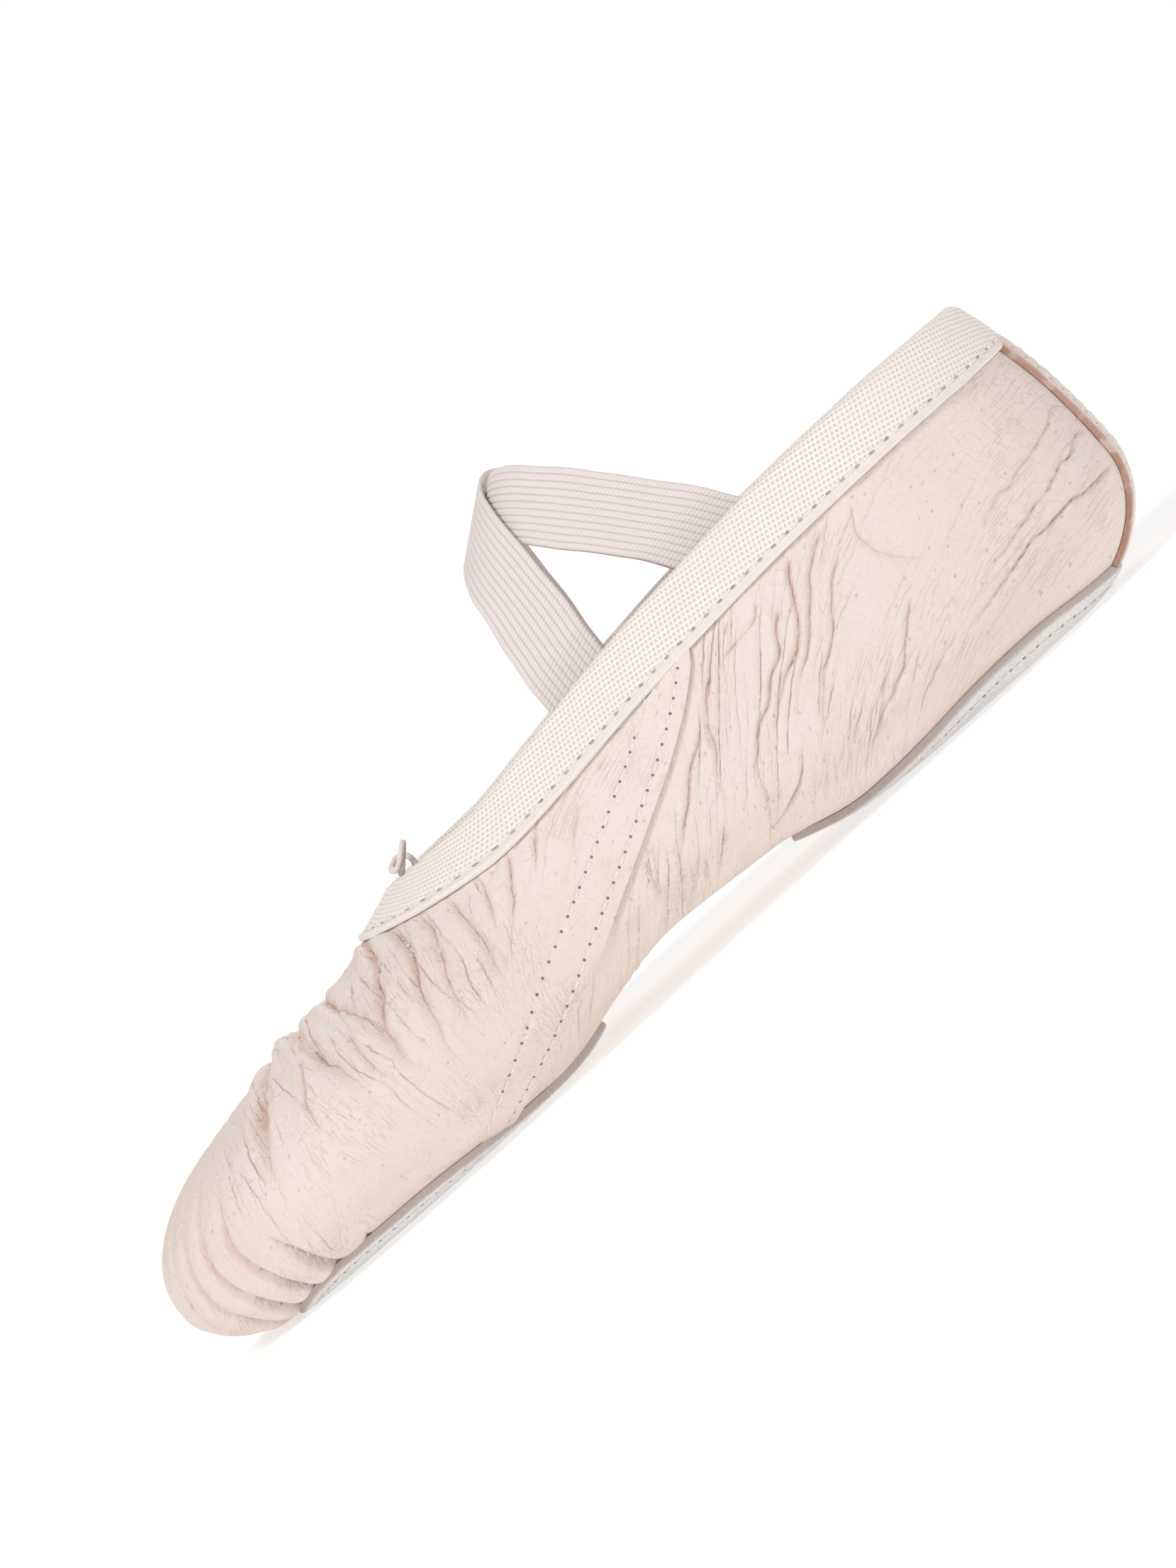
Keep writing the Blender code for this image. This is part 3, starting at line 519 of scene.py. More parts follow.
def nearest(line, points, reach=None, normals=None):
    """Distance from each point to a line, and how far along the line its nearest place is. With the normals
    of the points' surface, the distance is below 0 on the line's right. Points further than reach from the
    line's box are left out, and get a distance of 1000."""
    shape = points.shape[:-1]
    gap, place, hand = np.full(shape, 1000.0), np.zeros(shape), np.ones(shape)
    if reach is None:
        near = np.ones(shape, bool)
    else:
        near = ((points > line.min(0) - reach) & (points < line.max(0) + reach)).all(-1)
    close, best, where, side, start = points[near], gap[near], place[near], hand[near], 0.0
    for a, b in zip(line[:-1], line[1:]):
        length = np.linalg.norm(b - a)
        t = np.clip((close - a) @ (b - a) / length ** 2, 0, 1)
        away = close - a - t[:, None] * (b - a)
        far = np.linalg.norm(away, axis=-1)
        closer = far < best
        best[closer], where[closer] = far[closer], start + t[closer] * length
        if normals is not None:
            beside = (np.cross(b - a, away[closer]) * normals[near][closer]).sum(-1)
            side[closer] = np.where(beside < 0, -1, 1)
        start += length
    gap[near], place[near], hand[near] = best, where, side
    return gap * hand, place


def patch_half_width(patch, from_toe):
    """Half width of a leaf-shaped patch: one superellipse ahead of the widest place and one behind it."""
    ahead = (patch["widest"] - from_toe) / (patch["widest"] - patch["front"])
    behind = (from_toe - patch["widest"]) / (patch["rear"] - patch["widest"])
    t = np.clip(np.where(ahead > 0, ahead, behind), 0, 1)
    power = np.where(ahead > 0, patch["front_power"][0], patch["rear_power"][0])
    root = np.where(ahead > 0, patch["front_power"][1], patch["rear_power"][1])
    return patch["half_width"] * (1 - t ** power) ** root


def underside(x, from_toe):
    """Height of the last's underside over a point of the plan."""
    centre, width, widest, _, below, _, low_round = section(from_toe)
    share = np.clip(np.abs(x - centre) / np.maximum(width, 1e-6), 0, 1)
    return flattened(widest - below * (1 - share ** low_round) ** (1 / low_round))


def on_underside(x, from_toe):
    return np.stack([x, from_toe, underside(x, from_toe)], -1)


def patch_outline(patch, count=160):
    """The patch's outline once round on the underside, from its front tip, evenly spaced."""
    t = (1 - np.cos(np.linspace(0, np.pi, 400))) / 2
    s = patch["front"] + (patch["rear"] - patch["front"]) * t
    x = patch_half_width(patch, s)
    s, x = np.concatenate([s, s[-2::-1]]), np.concatenate([x, -x[-2::-1]])
    return even_steps(on_underside(section(s)[0] + x, s), count)


def beyond_patch(patch, points, reach=40):
    """Distance from a patch's outline: above 0 outside it, and below 0 over it."""
    gap, _ = nearest(patch_outline(patch), points, reach)
    x, s, z = points[..., 0], points[..., 1], points[..., 2]
    over = ((np.abs(x - section(s)[0]) < patch_half_width(patch, s)) & (z < PATCH_BELOW)
            & (s > patch["front"]) & (s < patch["rear"]))
    return np.where(over, -np.minimum(gap, reach), gap)


def collar_edge(count, dense=1500):
    """Points of the leather's cut edge round the collar, evenly spaced, from the throat along the outer side
    to the heel and back along the inner side."""
    s = THROAT + (COLLAR_BACK - THROAT) * (1 - np.cos(np.linspace(0, np.pi, dense))) / 2
    both = np.concatenate([skin(s, 0.0, OUTER), skin(s[-2::-1], 0.0, INNER)])
    return even_steps(both, count + 1)[:-1]


def from_collar(points):
    """Distance from each point to the leather's cut edge round the collar."""
    return nearest(collar_edge(160), points)[0]


def ripple(u, v, seed, cells=64):
    """Smooth random heights from -1 to 1 over a plane of unit cells: each corner of a cell has its own random
    slope, and these are blended across the cell (Perlin's noise)."""
    angles = np.random.default_rng(seed).random((cells, cells)) * 2 * np.pi
    iu, iv = np.floor(u).astype(int), np.floor(v).astype(int)
    fu, fv = u - iu, v - iv

    def corner(du, dv):
        angle = angles[(iu + du) % cells, (iv + dv) % cells]
        return np.cos(angle) * (fu - du) + np.sin(angle) * (fv - dv)

    su, sv = (t ** 3 * (t * (6 * t - 15) + 10) for t in (fu, fv))
    low, high = (corner(0, k) + su * (corner(1, k) - corner(0, k)) for k in (0, 1))
    return 1.5 * (low + sv * (high - low))


def swells(points, size, seed, count=14):
    """Soft random swells from about -1 to 1 in all directions: a sum of waves, each about size long."""
    random = np.random.default_rng(seed)
    waves = unit(random.normal(size=(count, 3))) * 2 * np.pi / size * random.uniform(0.7, 1.3, (count, 1))
    return np.sin(points @ waves.T + random.uniform(0, 2 * np.pi, count)).sum(-1) / np.sqrt(2 * count)


def furrow(gap, half_width=0.6):
    """A smooth dip's share of its depth, at a distance from its middle."""
    return np.exp(-(gap / half_width) ** 2)


def furrows(off, rows, half_width):
    """The same dips along several rows, at their distances off."""
    return sum(furrow(off - row, half_width) for row in rows)


def folded(points, normals, folds, side):
    """Folds on the skin: their heights, how much painted shade their depth gets from 0 to 1, and how far each
    point is to one side of the nearest fold's middle. A fold is a round furrow between two low swells. It
    wanders a little, crosses the top's middle or starts quickly, and dies out towards its end."""
    height, dark = np.zeros(points.shape[:-1]), np.zeros(points.shape[:-1])
    from_fold = np.full(points.shape[:-1], 3.0)
    wander = 0.35 * swells(points, 5, seed=11)
    for depth, width, course in folds:
        s, z = np.array(course, float).T
        line = skin(*smooth_route(np.stack([s, wrap_at(s, z)], -1), 5).T, side)
        gap, place = nearest(line, points, 5 * width, normals)
        gap = gap + wander * (np.abs(gap) < 100)
        along = place / distance_along(line)[-1]
        strength = eased(along / 0.08 + (1 if z[0] > 80 else 0.35)) * eased((1 - along) / 0.5)
        swell = furrow(np.abs(gap) - 1.8 * width, width)
        height += strength * depth * (0.42 * swell - 0.85 * furrow(gap, 0.55 * width))
        here = strength * min(1, 0.45 + depth / 2.4) * furrow(gap, 0.75 * width)  # a deep fold gets more painted shade
        from_fold = np.where(here > dark, gap, from_fold)
        dark = np.maximum(dark, here)
    return height, dark, np.clip(from_fold, -3, 3)


def creased(across, along, spacing, length, seed):
    """Fine random creases: how far each point is to one side of the nearest, and how strong that one is from
    0 to 1. They lie about spacing apart, where a smooth random wave crosses 0. The distance is the wave over
    its slope, and a crease dies out where the wave is flat."""
    across = across + 0.28 * ripple(along / 1.9, across / 2.6, seed + 3)

    def wave(across):
        return (ripple(across / spacing, along / length, seed)
                + 0.2 * ripple(across / spacing * 1.8, along / length * 1.8, seed + 1))

    slope = np.abs(wave(across + 0.2) - wave(across - 0.2)) / 0.4
    patches = eased(0.6 + 1.6 * ripple(across / spacing / 2.5, along / length / 1.3, seed + 2))
    strength = eased(slope * spacing / 1.3 - 0.2) * patches
    return np.clip(wave(across) / np.maximum(slope, 0.02), -3, 3), strength


STEP = 4  # fine cells along each side of a coarse one


def fine_and_coarse(values, *shape):
    """What the fine grid's points have, and then what the coarse grid's have, at every STEP-th one."""
    return np.concatenate([values.reshape(-1, *shape), values[::STEP, ::STEP].reshape(-1, *shape)])


def shell_faces(rows, columns, kept, goes_on, fine_start, coarse_start):
    """Faces of a thin shell: small cells on the face that shows, cells STEP times as large on its back, and
    the rim round the kept part. kept says which coarse cells exist. goes_on is one cell wider all round, and
    says where the shell goes on past its border, so that it needs no rim there."""
    fine = fine_start + np.arange((rows + 1) * (columns + 1)).reshape(rows + 1, columns + 1)
    shape = rows // STEP + 1, columns // STEP + 1
    coarse = coarse_start + np.arange(shape[0] * shape[1]).reshape(shape)
    shown = np.repeat(np.repeat(kept, STEP, 0), STEP, 1).ravel()
    faces = grid_faces(fine)[shown].tolist() + grid_faces(coarse)[kept.ravel()][:, ::-1].tolist()
    there = np.pad(kept, 1) | goes_on
    for i, j in np.argwhere(there[:-1, 1:-1] != there[1:, 1:-1]):
        faces.append([*fine[i * STEP, j * STEP:(j + 1) * STEP + 1], coarse[i, j + 1], coarse[i, j]])
    for i, j in np.argwhere(there[1:-1, :-1] != there[1:-1, 1:]):
        faces.append([*fine[i * STEP:(i + 1) * STEP + 1, j * STEP], coarse[i + 1, j], coarse[i, j]])
    return faces


def outward(points, side, tip):
    """Normals of a grid of points, from its two directions. tip is the first or last row, where all points
    are one, and the normal there is along the slipper."""
    across = np.cross(np.gradient(points, axis=0), np.gradient(points, axis=1))
    normals = unit(across) * side
    normals[tip] = [0, -1 if tip == 0 else 1, 0]
    return normals


def even_wraps(from_toe, count, dense=2000):
    """Places round the section, from the underside's middle up to the collar, evenly spaced at from_toe."""
    wrap = np.linspace(2, 0, dense)
    along = distance_along(skin(np.full(dense, from_toe), wrap, OUTER))
    return np.interp(np.linspace(0, along[-1], count + 1), along, wrap)


def even_places(start, end, wrap, count, dense=3000):
    """Places along the slipper, evenly spaced on the skin at wrap."""
    s = start + (end - start) * (1 - np.cos(np.linspace(0, np.pi, dense))) / 2
    along = distance_along(skin(s, np.full(dense, wrap), OUTER))
    return np.interp(np.linspace(0, along[-1], count + 1), along, s)


def distance_on_grid(points, axis):
    """How far each point of a grid is from the grid's first line, along its rows or its columns."""
    steps = np.linalg.norm(np.diff(points, axis=axis), axis=-1)
    return np.concatenate([np.zeros_like(steps.take([0], axis)), np.cumsum(steps, axis)], axis)


def kept_cells(points):
    """Which coarse cells of a grid the leather has: it is left out over the middle of each patch."""
    middle = points[STEP // 2::STEP, STEP // 2::STEP]
    kept = np.ones(middle.shape[:2], bool)
    for patch in (FOREFOOT_PATCH, HEEL_PATCH):
        kept &= beyond_patch(patch, middle) > -OPEN_INSIDE
    return kept


def pleated(points):
    """The toe's pleats: their heights, how much painted shade their grooves get, and how far each point is to
    one side of a groove.
    Between two grooves the leather puffs up in half a round. The pleats start at the patch's edge, and each
    groove dies out at its own distance from it."""
    x, s = points[..., 0] - PLEAT_CENTRE[0], PLEAT_CENTRE[1] - points[..., 1]
    out = beyond_patch(FOREFOOT_PATCH, points)
    angle = np.degrees(np.arctan2(x, s)) + 2.4 * np.sin(out / 6.5 + x / 7) + 1.1 * np.sin(out / 2.3 + 1)
    grooves, fades = np.array(PLEAT_ANGLES, float), np.array(PLEAT_FADES, float)
    k = np.clip(np.searchsorted(grooves, angle) - 1, 0, len(grooves) - 2)
    share = np.clip((angle - grooves[k]) / (grooves[k + 1] - grooves[k]), 0, 1)
    left, right = (eased((fades[j] - out) / (0.8 * fades[j])) for j in (k, k + 1))
    start = eased((out + 1.5) / 3.0)
    puff = np.sqrt(np.clip(1 - (2 * share - 1) ** 2, 0, 1)) - 0.6
    from_groove = (np.where(share < 0.5, share, share - 1) * np.radians(grooves[k + 1] - grooves[k])
                   * np.hypot(x, s))
    nearer = np.where(share < 0.5, left, right)
    inside = (np.abs(angle) < PLEAT_ANGLES[-1]) & (points[..., 2] < PLEATS_BELOW)
    height = start * (PLEAT_PUFF * (1 + 0.25 * np.sin(2.4 * k)) * puff * (left * (1 - share) + right * share)
                      - PLEAT_GROOVE * eased(1.5 * nearer) * furrow(from_groove, 0.8))
    dark = start * eased(1.7 * nearer) * furrow(from_groove, 0.9)
    return np.where(inside, height, 0), np.where(inside, dark, 0), from_groove


def vamp_grid(side):
    """One half of the vamp as a grid: rows from the toe's tip to the rear edge, columns from the underside's
    middle up to the collar. Gives its places, points and normals."""
    ahead = even_places(0, THROAT, 0.3, VAMP_ROWS[0])
    behind = np.linspace(THROAT, SEAM_TOP, VAMP_ROWS[1] + 1)[1:]
    share = np.concatenate([ahead, behind]) / SEAM_TOP
    wrap = even_wraps(VAMP_EVEN_AT, VAMP_COLUMNS)
    from_toe = share[:, None] * seam_from_toe(wrap)[None]
    points = skin(from_toe, np.broadcast_to(wrap, from_toe.shape), side)
    return from_toe, points, outward(points, side, 0)


def seam_line(side):
    """The vamp's rear edge on the last's skin, from the underside's middle up to the collar."""
    wrap = even_wraps(VAMP_EVEN_AT, VAMP_COLUMNS)[::3]
    return skin(seam_from_toe(wrap), wrap, side)


def lap_height(ahead, below_collar):
    """How far the vamp stands up over the side piece that it lies on, and sinks again along its stitching."""
    standing = LAP * eased(1 - ahead / LAP_REACH) * eased((below_collar - 4) / 4 + 0.2)
    return standing - SEAM_PULL * furrows(ahead, SEAM_ROWS, 0.55)


def top_swells(points, from_toe):
    """Low swells of the vamp between its folds, none at the toe's tip."""
    return 0.5 * swells(points, 26, seed=5) * eased((from_toe - 12) / 20)


def vamp_relief(side, from_toe, points, normals):
    """Heights of the vamp's folds, pleats, creases and swells over the last, what its finish reads, and the
    distances along and across its wrinkles."""
    ahead, run = nearest(seam_line(side), points)
    below_collar = from_collar(points)
    clear = (eased((below_collar - TAPE_OUTSIDE + 1.0) / 3)
             * eased(beyond_patch(FOREFOOT_PATCH, points) / 2.5) * eased((ahead - 8) / 7))
    folds, dark, from_fold = folded(points, normals, OUTER_FOLDS if side == OUTER else INNER_FOLDS, side)
    pleats, pleat_shade, from_groove = pleated(points)
    below_binding = eased((below_collar - 12) / 3)
    pleat_shade = pleat_shade * below_binding
    across = from_toe - np.interp(from_toe, *np.array(WRINKLE_LEANS).T) * (points[..., 2] - 25)
    girth = distance_on_grid(points, 1)
    along = (girth[:, -1:] - girth) * side
    worn = clear * eased((from_toe - 14) / 20) * (0.5 + 0.5 * eased((points[..., 2] - 12) / 16))
    from_crease, wear = creased(across, along, spacing=4.6, length=30.0, seed=3)
    from_fine, fine_wear = creased(across, along, spacing=2.8, length=17.0, seed=33)
    fine_wear = fine_wear * eased((points[..., 2] - 9) / 8)
    height = (clear * (folds + top_swells(points, from_toe))
              - worn * (CREASE_DEPTH * wear * furrow(from_crease)
                        + FINE_DEPTH * fine_wear * furrow(from_fine, 0.45))
              + pleats * below_binding + lap_height(ahead, below_collar))
    # fold is painted shade in the folds' depth and in the pleats' grooves.
    fields = {"fold": np.maximum(clear * dark, pleat_shade),
              "from_fold": np.where(pleat_shade > clear * dark, from_groove, from_fold),
              "wear": worn * wear, "from_crease": from_crease,
              "fine_wear": worn * fine_wear, "from_fine": from_fine, "ahead": ahead, "run": run}
    return height, fields, np.stack([along, across], -1)


def joined_halves(name, finish, halves, closed_rows):
    """One piece from the grids of its two halves. They are the same line along the underside's middle, and
    along the top where the section is closed, so their two edges are brought to one."""
    for key in ("fine", "coarse"):
        one, other = halves[0][key], halves[1][key]
        step = STEP if key == "coarse" else 1
        closed = np.zeros(len(one), bool)
        for first, last in closed_rows:
            closed[first // step:last // step + 1] = True
        for rows, column in ((slice(None), 0), (closed, -1)):
            middle = (one[rows, column] + other[rows, column]) / 2
            one[rows, column], other[rows, column] = middle, middle
    points = np.concatenate([half[key].reshape(-1, 3) for half in halves for key in ("fine", "coarse")])
    faces, start = [], 0
    for half in halves:
        rows, columns = half["fine"].shape[0] - 1, half["fine"].shape[1] - 1
        kept = half["kept"]
        goes_on = np.zeros((kept.shape[0] + 2, kept.shape[1] + 2), bool)
        goes_on[1:-1, 0] = kept[:, 0]
        for first, last in closed_rows:
            goes_on[1 + first // STEP:1 + last // STEP, -1] = True
        for tip in half["tips"]:
            goes_on[tip, 1:-1] = True
        count = half["fine"].shape[0] * half["fine"].shape[1]
        faces += shell_faces(rows, columns, kept, goes_on, start, start + count)
        start += count + half["coarse"].shape[0] * half["coarse"].shape[1]
    fields = {field: np.concatenate([fine_and_coarse(half["fields"][field]) for half in halves])
              for field in halves[0]["fields"]}
    uv = np.concatenate([fine_and_coarse(half["uv"], 2) for half in halves])
    return add_piece(name, points, faces, finish, uv, **fields)


def attribute(tree, name):
    return add_node(tree, "ShaderNodeAttribute", {}, attribute_name=name).outputs["Fac"]


def vector_maths(tree, operation, *values):
    return add_node(tree, "ShaderNodeVectorMath", dict(enumerate(values)), operation=operation).outputs


def tinted(tree, colour, share, strength, tint):
    """The colour, with a tint laid over it by share times strength."""
    return mixed(tree, times(tree, share, strength), colour, tint)


def raised(tree, height, share, by):
    """The height, with share times a height in millimetres added. Below 0 it is sunk."""
    return maths(tree, "MULTIPLY_ADD", share, by, height)


def falling(tree, value, low, high):
    """1 where the value is low, 0 where it is high, and smooth between."""
    return maths(tree, "SUBTRACT", 1.0, ramped(tree, value, low, high))


def cell_pattern(tree, where, scale):
    """Random cells: a number from 0 to 1 for each, and the distance from its point."""
    made = add_node(tree, "ShaderNodeTexVoronoi", {"Vector": where, "Scale": scale})
    parts = add_node(tree, "ShaderNodeSeparateColor", {0: made.outputs["Color"]})
    return parts.outputs[0], made.outputs["Distance"]


def thin_line(tree, distance, inner, outer):
    """1 on a line, 0 further than outer from it, and smooth between."""
    return falling(tree, maths(tree, "ABSOLUTE", distance), inner, outer)


def hairlines(tree, lying, along, across, half_width):
    """Short thin lines where stretched noise crosses its mean. The noise over its slope is the distance, so
    that every line is as thin. along and across are their length and distance apart, in metres."""
    lying = stretched(tree, lying, 1 / along, 1 / across, 1)
    beside = vector_maths(tree, "ADD", lying, (0, 0.1, 0))[0]
    here, there = noise(tree, lying, 1.0, 1.5), noise(tree, beside, 1.0, 1.5)
    slope = times(tree, maths(tree, "ABSOLUTE", maths(tree, "SUBTRACT", there, here)), 10.0)
    distance = maths(tree, "DIVIDE", maths(tree, "SUBTRACT", here, 0.5), maths(tree, "MAXIMUM", slope, 0.02))
    return times(tree, thin_line(tree, distance, 0.3 * half_width / across, half_width / across),
                 ramped(tree, slope, 0.15, 0.5))


def needle_holes(tree, run, off, rows, pitch, inner, outer):
    """1 in the needle holes of some stitching rows: a hole every pitch of run, at each row's own off."""
    through_pitch = maths(tree, "FRACT", maths(tree, "DIVIDE", run, pitch))
    from_hole = times(tree, pitch, maths(tree, "SUBTRACT", through_pitch, 0.5))
    holes = 0.0
    for row in rows:
        place = add_node(tree, "ShaderNodeCombineXYZ", {0: from_hole, 1: maths(tree, "SUBTRACT", off, row)})
        away = vector_maths(tree, "LENGTH", place.outputs[0])["Value"]
        holes = maths(tree, "MAXIMUM", holes, thin_line(tree, away, inner, outer))
    return holes


def leather_finish(name, rows=(), row_field="ahead", run_field="run"):
    """Soft pink leather. Its grain is small cells with brown pores. The folds have a warm brown painted shade
    in their depth, and they and the creases have thin dark lines, partly the creased finish and partly
    painted shade; hairlines run along with them. A raw cut edge, in the field named cut, is rough and brown.
    rows are the stitching rows' distances in row_field, and their holes, with painted shade in them, are
    spaced along run_field."""
    finish, tree, shader = new_finish(name, 0.52, Specular_IOR_Level=0.3, Sheen_Weight=0.05,
                                      Sheen_Roughness=0.5)
    where, lying = place_on(tree, "Object"), place_on(tree, "UV")
    shaky = maths(tree, "MULTIPLY_ADD", noise(tree, where, 700.0, 2.0), 0.5, -0.25)
    broken = ramped(tree, noise(tree, where, 240.0, 2.0), 0.38, 0.54)
    lines = 0.0
    for depth, distance, half_width, weight in CREASE_LINES:
        line = thin_line(tree, maths(tree, "ADD", attribute(tree, distance), shaky), 0.03, half_width)
        line = times(tree, line, maths(tree, "MULTIPLY_ADD", broken, 0.5, 0.5))
        line = times(tree, line, times(tree, attribute(tree, depth), weight))
        lines = maths(tree, "MAXIMUM", lines, line)
    patchy = ramped(tree, noise(tree, where, 70.0, 3.0), 0.42, 0.62)
    hairs = times(tree, hairlines(tree, lying, 0.007, 0.0011, 0.00011), patchy)
    chosen, from_pore = cell_pattern(tree, stretched(tree, lying, 420, 620, 420), 1.0)
    pore = times(tree, ramped(tree, chosen, 0.66, 0.72), falling(tree, from_pore, 0.08, 0.2))
    cut = times(tree, attribute(tree, "cut"), maths(tree, "MULTIPLY_ADD", broken, 0.5, 0.45))

    grain = add_node(tree, "ShaderNodeTexVoronoi", {"Vector": where, "Scale": 1350.0},
                     feature="DISTANCE_TO_EDGE").outputs[0]
    crumple = maths(tree, "ABSOLUTE", maths(tree, "SUBTRACT", noise(tree, where, 300.0, 2.0), 0.5))
    height = times(tree, ramped(tree, grain, 0.0, 0.35), 0.020)
    height = raised(tree, height, noise(tree, where, 420.0, 3.0), 0.10)
    height = raised(tree, height, ramped(tree, crumple, 0.0, 0.10), 0.09)
    height = raised(tree, height, lines, -0.14)
    height = raised(tree, height, hairs, -0.05)
    height = raised(tree, height, pore, -0.05)
    height = raised(tree, height, times(tree, cut, broken), 0.25)

    colour = mixed(tree, ramped(tree, noise(tree, where, 38.0, 4.0), 0.3, 0.7), *LEATHER_COLOURS)
    # Painted shade in the depth of folds, pleat grooves and stitching furrows.
    colour = tinted(tree, colour, attribute(tree, "fold"), 0.32, FOLD_SHADE)
    colour = tinted(tree, colour, hairs, 0.30, HAIRLINE_BROWN)
    colour = tinted(tree, colour, pore, 0.5, PORE_BROWN)
    # The crease lines: partly the creased finish, partly painted shade in their troughs.
    colour = tinted(tree, colour, lines, 0.66, CREASE_MARK_AND_SHADE)
    colour = mixed(tree, cut, colour, CUT_BROWN)
    if rows:
        hole = needle_holes(tree, attribute(tree, run_field), attribute(tree, row_field), rows, STITCH_PITCH,
                            0.12, 0.32)
        # Painted shade in the needle holes.
        colour = tinted(tree, colour, hole, 0.85, HOLE_SHADE)
        height = raised(tree, height, hole, -0.30)
    dress(tree, shader, colour, height)
    return finish


def make_vamp():
    """Both halves of the vamp: the last's skin raised by the relief, with even leather under it."""
    halves = []
    for side in (OUTER, INNER):
        from_toe, points, normals = vamp_grid(side)
        height, fields, uv = vamp_relief(side, from_toe, points, normals)
        fine = moved_out(points, normals, height)
        fine[..., 2] = np.maximum(fine[..., 2], FLOOR_ROOM)
        coarse = (fine - LEATHER * normals)[::STEP, ::STEP]
        halves.append({"fine": fine, "coarse": coarse, "kept": kept_cells(points), "tips": (0,),
                       "uv": uv, "fields": fields})
    return joined_halves("vamp", leather_finish("vamp_leather", SEAM_ROWS), halves, ((0, VAMP_ROWS[0]),))


vamp = make_vamp()
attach(vamp, "root")
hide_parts("upper")


# ---------------- side pieces
# Two leather pieces run from under the vamp to the heel, one on each side. They meet along the underside of
# the arch and up the back of the heel. Wear has crossed them with fine slanting creases.

UNDER_LAP = 14.0  # how far they reach forward under the vamp, measured along the slipper
SIDE_ROWS, SIDE_COLUMNS = (204, 12), 160  # rows to the collar's back, and on to the heel's back
SIDE_EVEN_AT = 160.0  # from_toe where the columns are evenly spaced
OUTER_CREASES = (  # like the vamp's folds: depth, width, and course in from_toe and height
    (0.75, 0.62, ((171, 43), (166.5, 36), (163, 31.5), (157, 28), (152, 24.5), (147, 21))),
    (0.70, 0.62, ((164, 38), (159, 32), (153, 28), (146, 23), (142, 17), (140.5, 11))),
    (0.50, 0.55, ((151, 17), (148, 14), (143, 11.5), (138, 10.5), (133, 11))),
    (0.45, 0.55, ((173, 19), (168, 15), (162, 10), (156, 7))),
    (0.40, 0.5, ((162, 41), (158, 38.5), (152, 38), (148, 35.5))),
    (0.55, 0.55, ((148, 37), (144, 34), (141, 29), (137, 22), (135, 17))),
    (0.55, 0.55, ((140, 31), (134, 27), (129, 22), (124, 18), (121, 13))),
    (0.45, 0.5, ((127, 28), (121, 24), (118, 19), (115.5, 13))),
    (0.60, 0.62, ((178, 43), (172, 38.5), (165, 31), (159, 26.5), (153, 22))),
    (0.55, 0.55, ((178, 38), (173, 34), (168, 28.5), (160, 22), (154, 15), (152, 10))),
    (0.50, 0.55, ((182, 24), (176, 18.5), (169, 14), (164, 11.5), (159, 8))),
    (0.60, 0.55, ((224, 17), (214, 17.5), (205, 17), (196, 15.5), (188, 13.5), (177, 10))),
    (0.55, 0.55, ((226, 24), (217, 23), (208, 21), (200, 19.5), (194, 18), (185, 15))),
    (0.35, 0.5, ((226, 29), (216, 28.5), (206, 27), (197, 24.5), (189, 21))),
    (0.30, 0.5, ((185, 43), (182.5, 38), (183.5, 33), (187, 29), (192, 26))),
)
INNER_CREASES = (
    (0.65, 0.62, ((169, 43), (163, 37), (157, 31), (150, 26), (144, 20))),
    (0.60, 0.62, ((160, 38), (152, 30), (146, 24), (140, 18), (137, 12))),
    (0.50, 0.55, ((145, 33), (138, 28), (131, 22), (126, 16), (122, 12))),
    (0.45, 0.55, ((130, 29), (123, 24), (118, 18), (114, 13))),
    (0.55, 0.55, ((179, 40), (171, 33), (163, 26), (156, 19), (152, 13))),
    (0.50, 0.55, ((186, 28), (178, 20), (169, 14), (161, 10))),
    (0.55, 0.55, ((225, 19), (214, 18.5), (203, 17), (193, 14), (183, 11))),
    (0.45, 0.55, ((226, 26), (215, 24), (204, 22), (195, 19))),
)
WRINKLE_SLANTS = (  # how steeply the fine wrinkles climb: from_toe, and degrees
    (70, 40), (118, 50), (140, 50), (160, 41), (180, 27), (200, 13), (222, 4),
)
SIDE_FINE_DEPTH = 0.13
STRIP_HALF_WIDTH = 10.0  # of the strip over the back seam
STRIP_FRONT = 195.0  # from_toe that the strip is behind
BACK_DIP = 0.4  # how far the leather's back follows a crease
THINNEST = 0.15  # and the least leather that is left between its two faces
ARCH_ROWS, ARCH_DIP = (2.5,), 0.28  # stitching on both sides of the seam under the arch
ARCH_BELOW = 15.0  # height that this seam is under


def wrinkle_lines(from_toe, height):
    """Distances along and across the side's fine wrinkles, found by adding up how far they climb and how long
    they are. They climb steeply behind the side seam, and lie flatter and flatter towards the heel."""
    s = np.linspace(30, 240, 400)
    slant = np.radians(np.interp(s, *np.array(WRINKLE_SLANTS).T))
    rise = np.concatenate([[0], np.cumsum(np.tan(slant[1:]) * np.diff(s))])
    run = np.concatenate([[0], np.cumsum(np.diff(s) / np.cos(slant[1:]))])
    return np.interp(from_toe, s, run), height - np.interp(from_toe, s, rise)


def side_grid(side):
    """A side piece as a grid: rows from its front edge, under the vamp, to the heel's back, and columns from
    the underside's middle up to the collar."""
    wrap = even_wraps(SIDE_EVEN_AT, SIDE_COLUMNS)
    front = seam_from_toe(wrap) - UNDER_LAP
    top_front = SEAM_TOP - UNDER_LAP
    ahead = even_places(top_front, COLLAR_BACK, 0.6, SIDE_ROWS[0])
    behind = even_places(COLLAR_BACK, LENGTH, 0.6, SIDE_ROWS[1])[1:]
    share = (np.concatenate([ahead, behind]) - top_front) / (LENGTH - top_front)
    from_toe = front[None] + share[:, None] * (LENGTH - front)[None]
    points = skin(from_toe, np.broadcast_to(wrap, from_toe.shape), side)
    return from_toe, points, outward(points, side, -1)


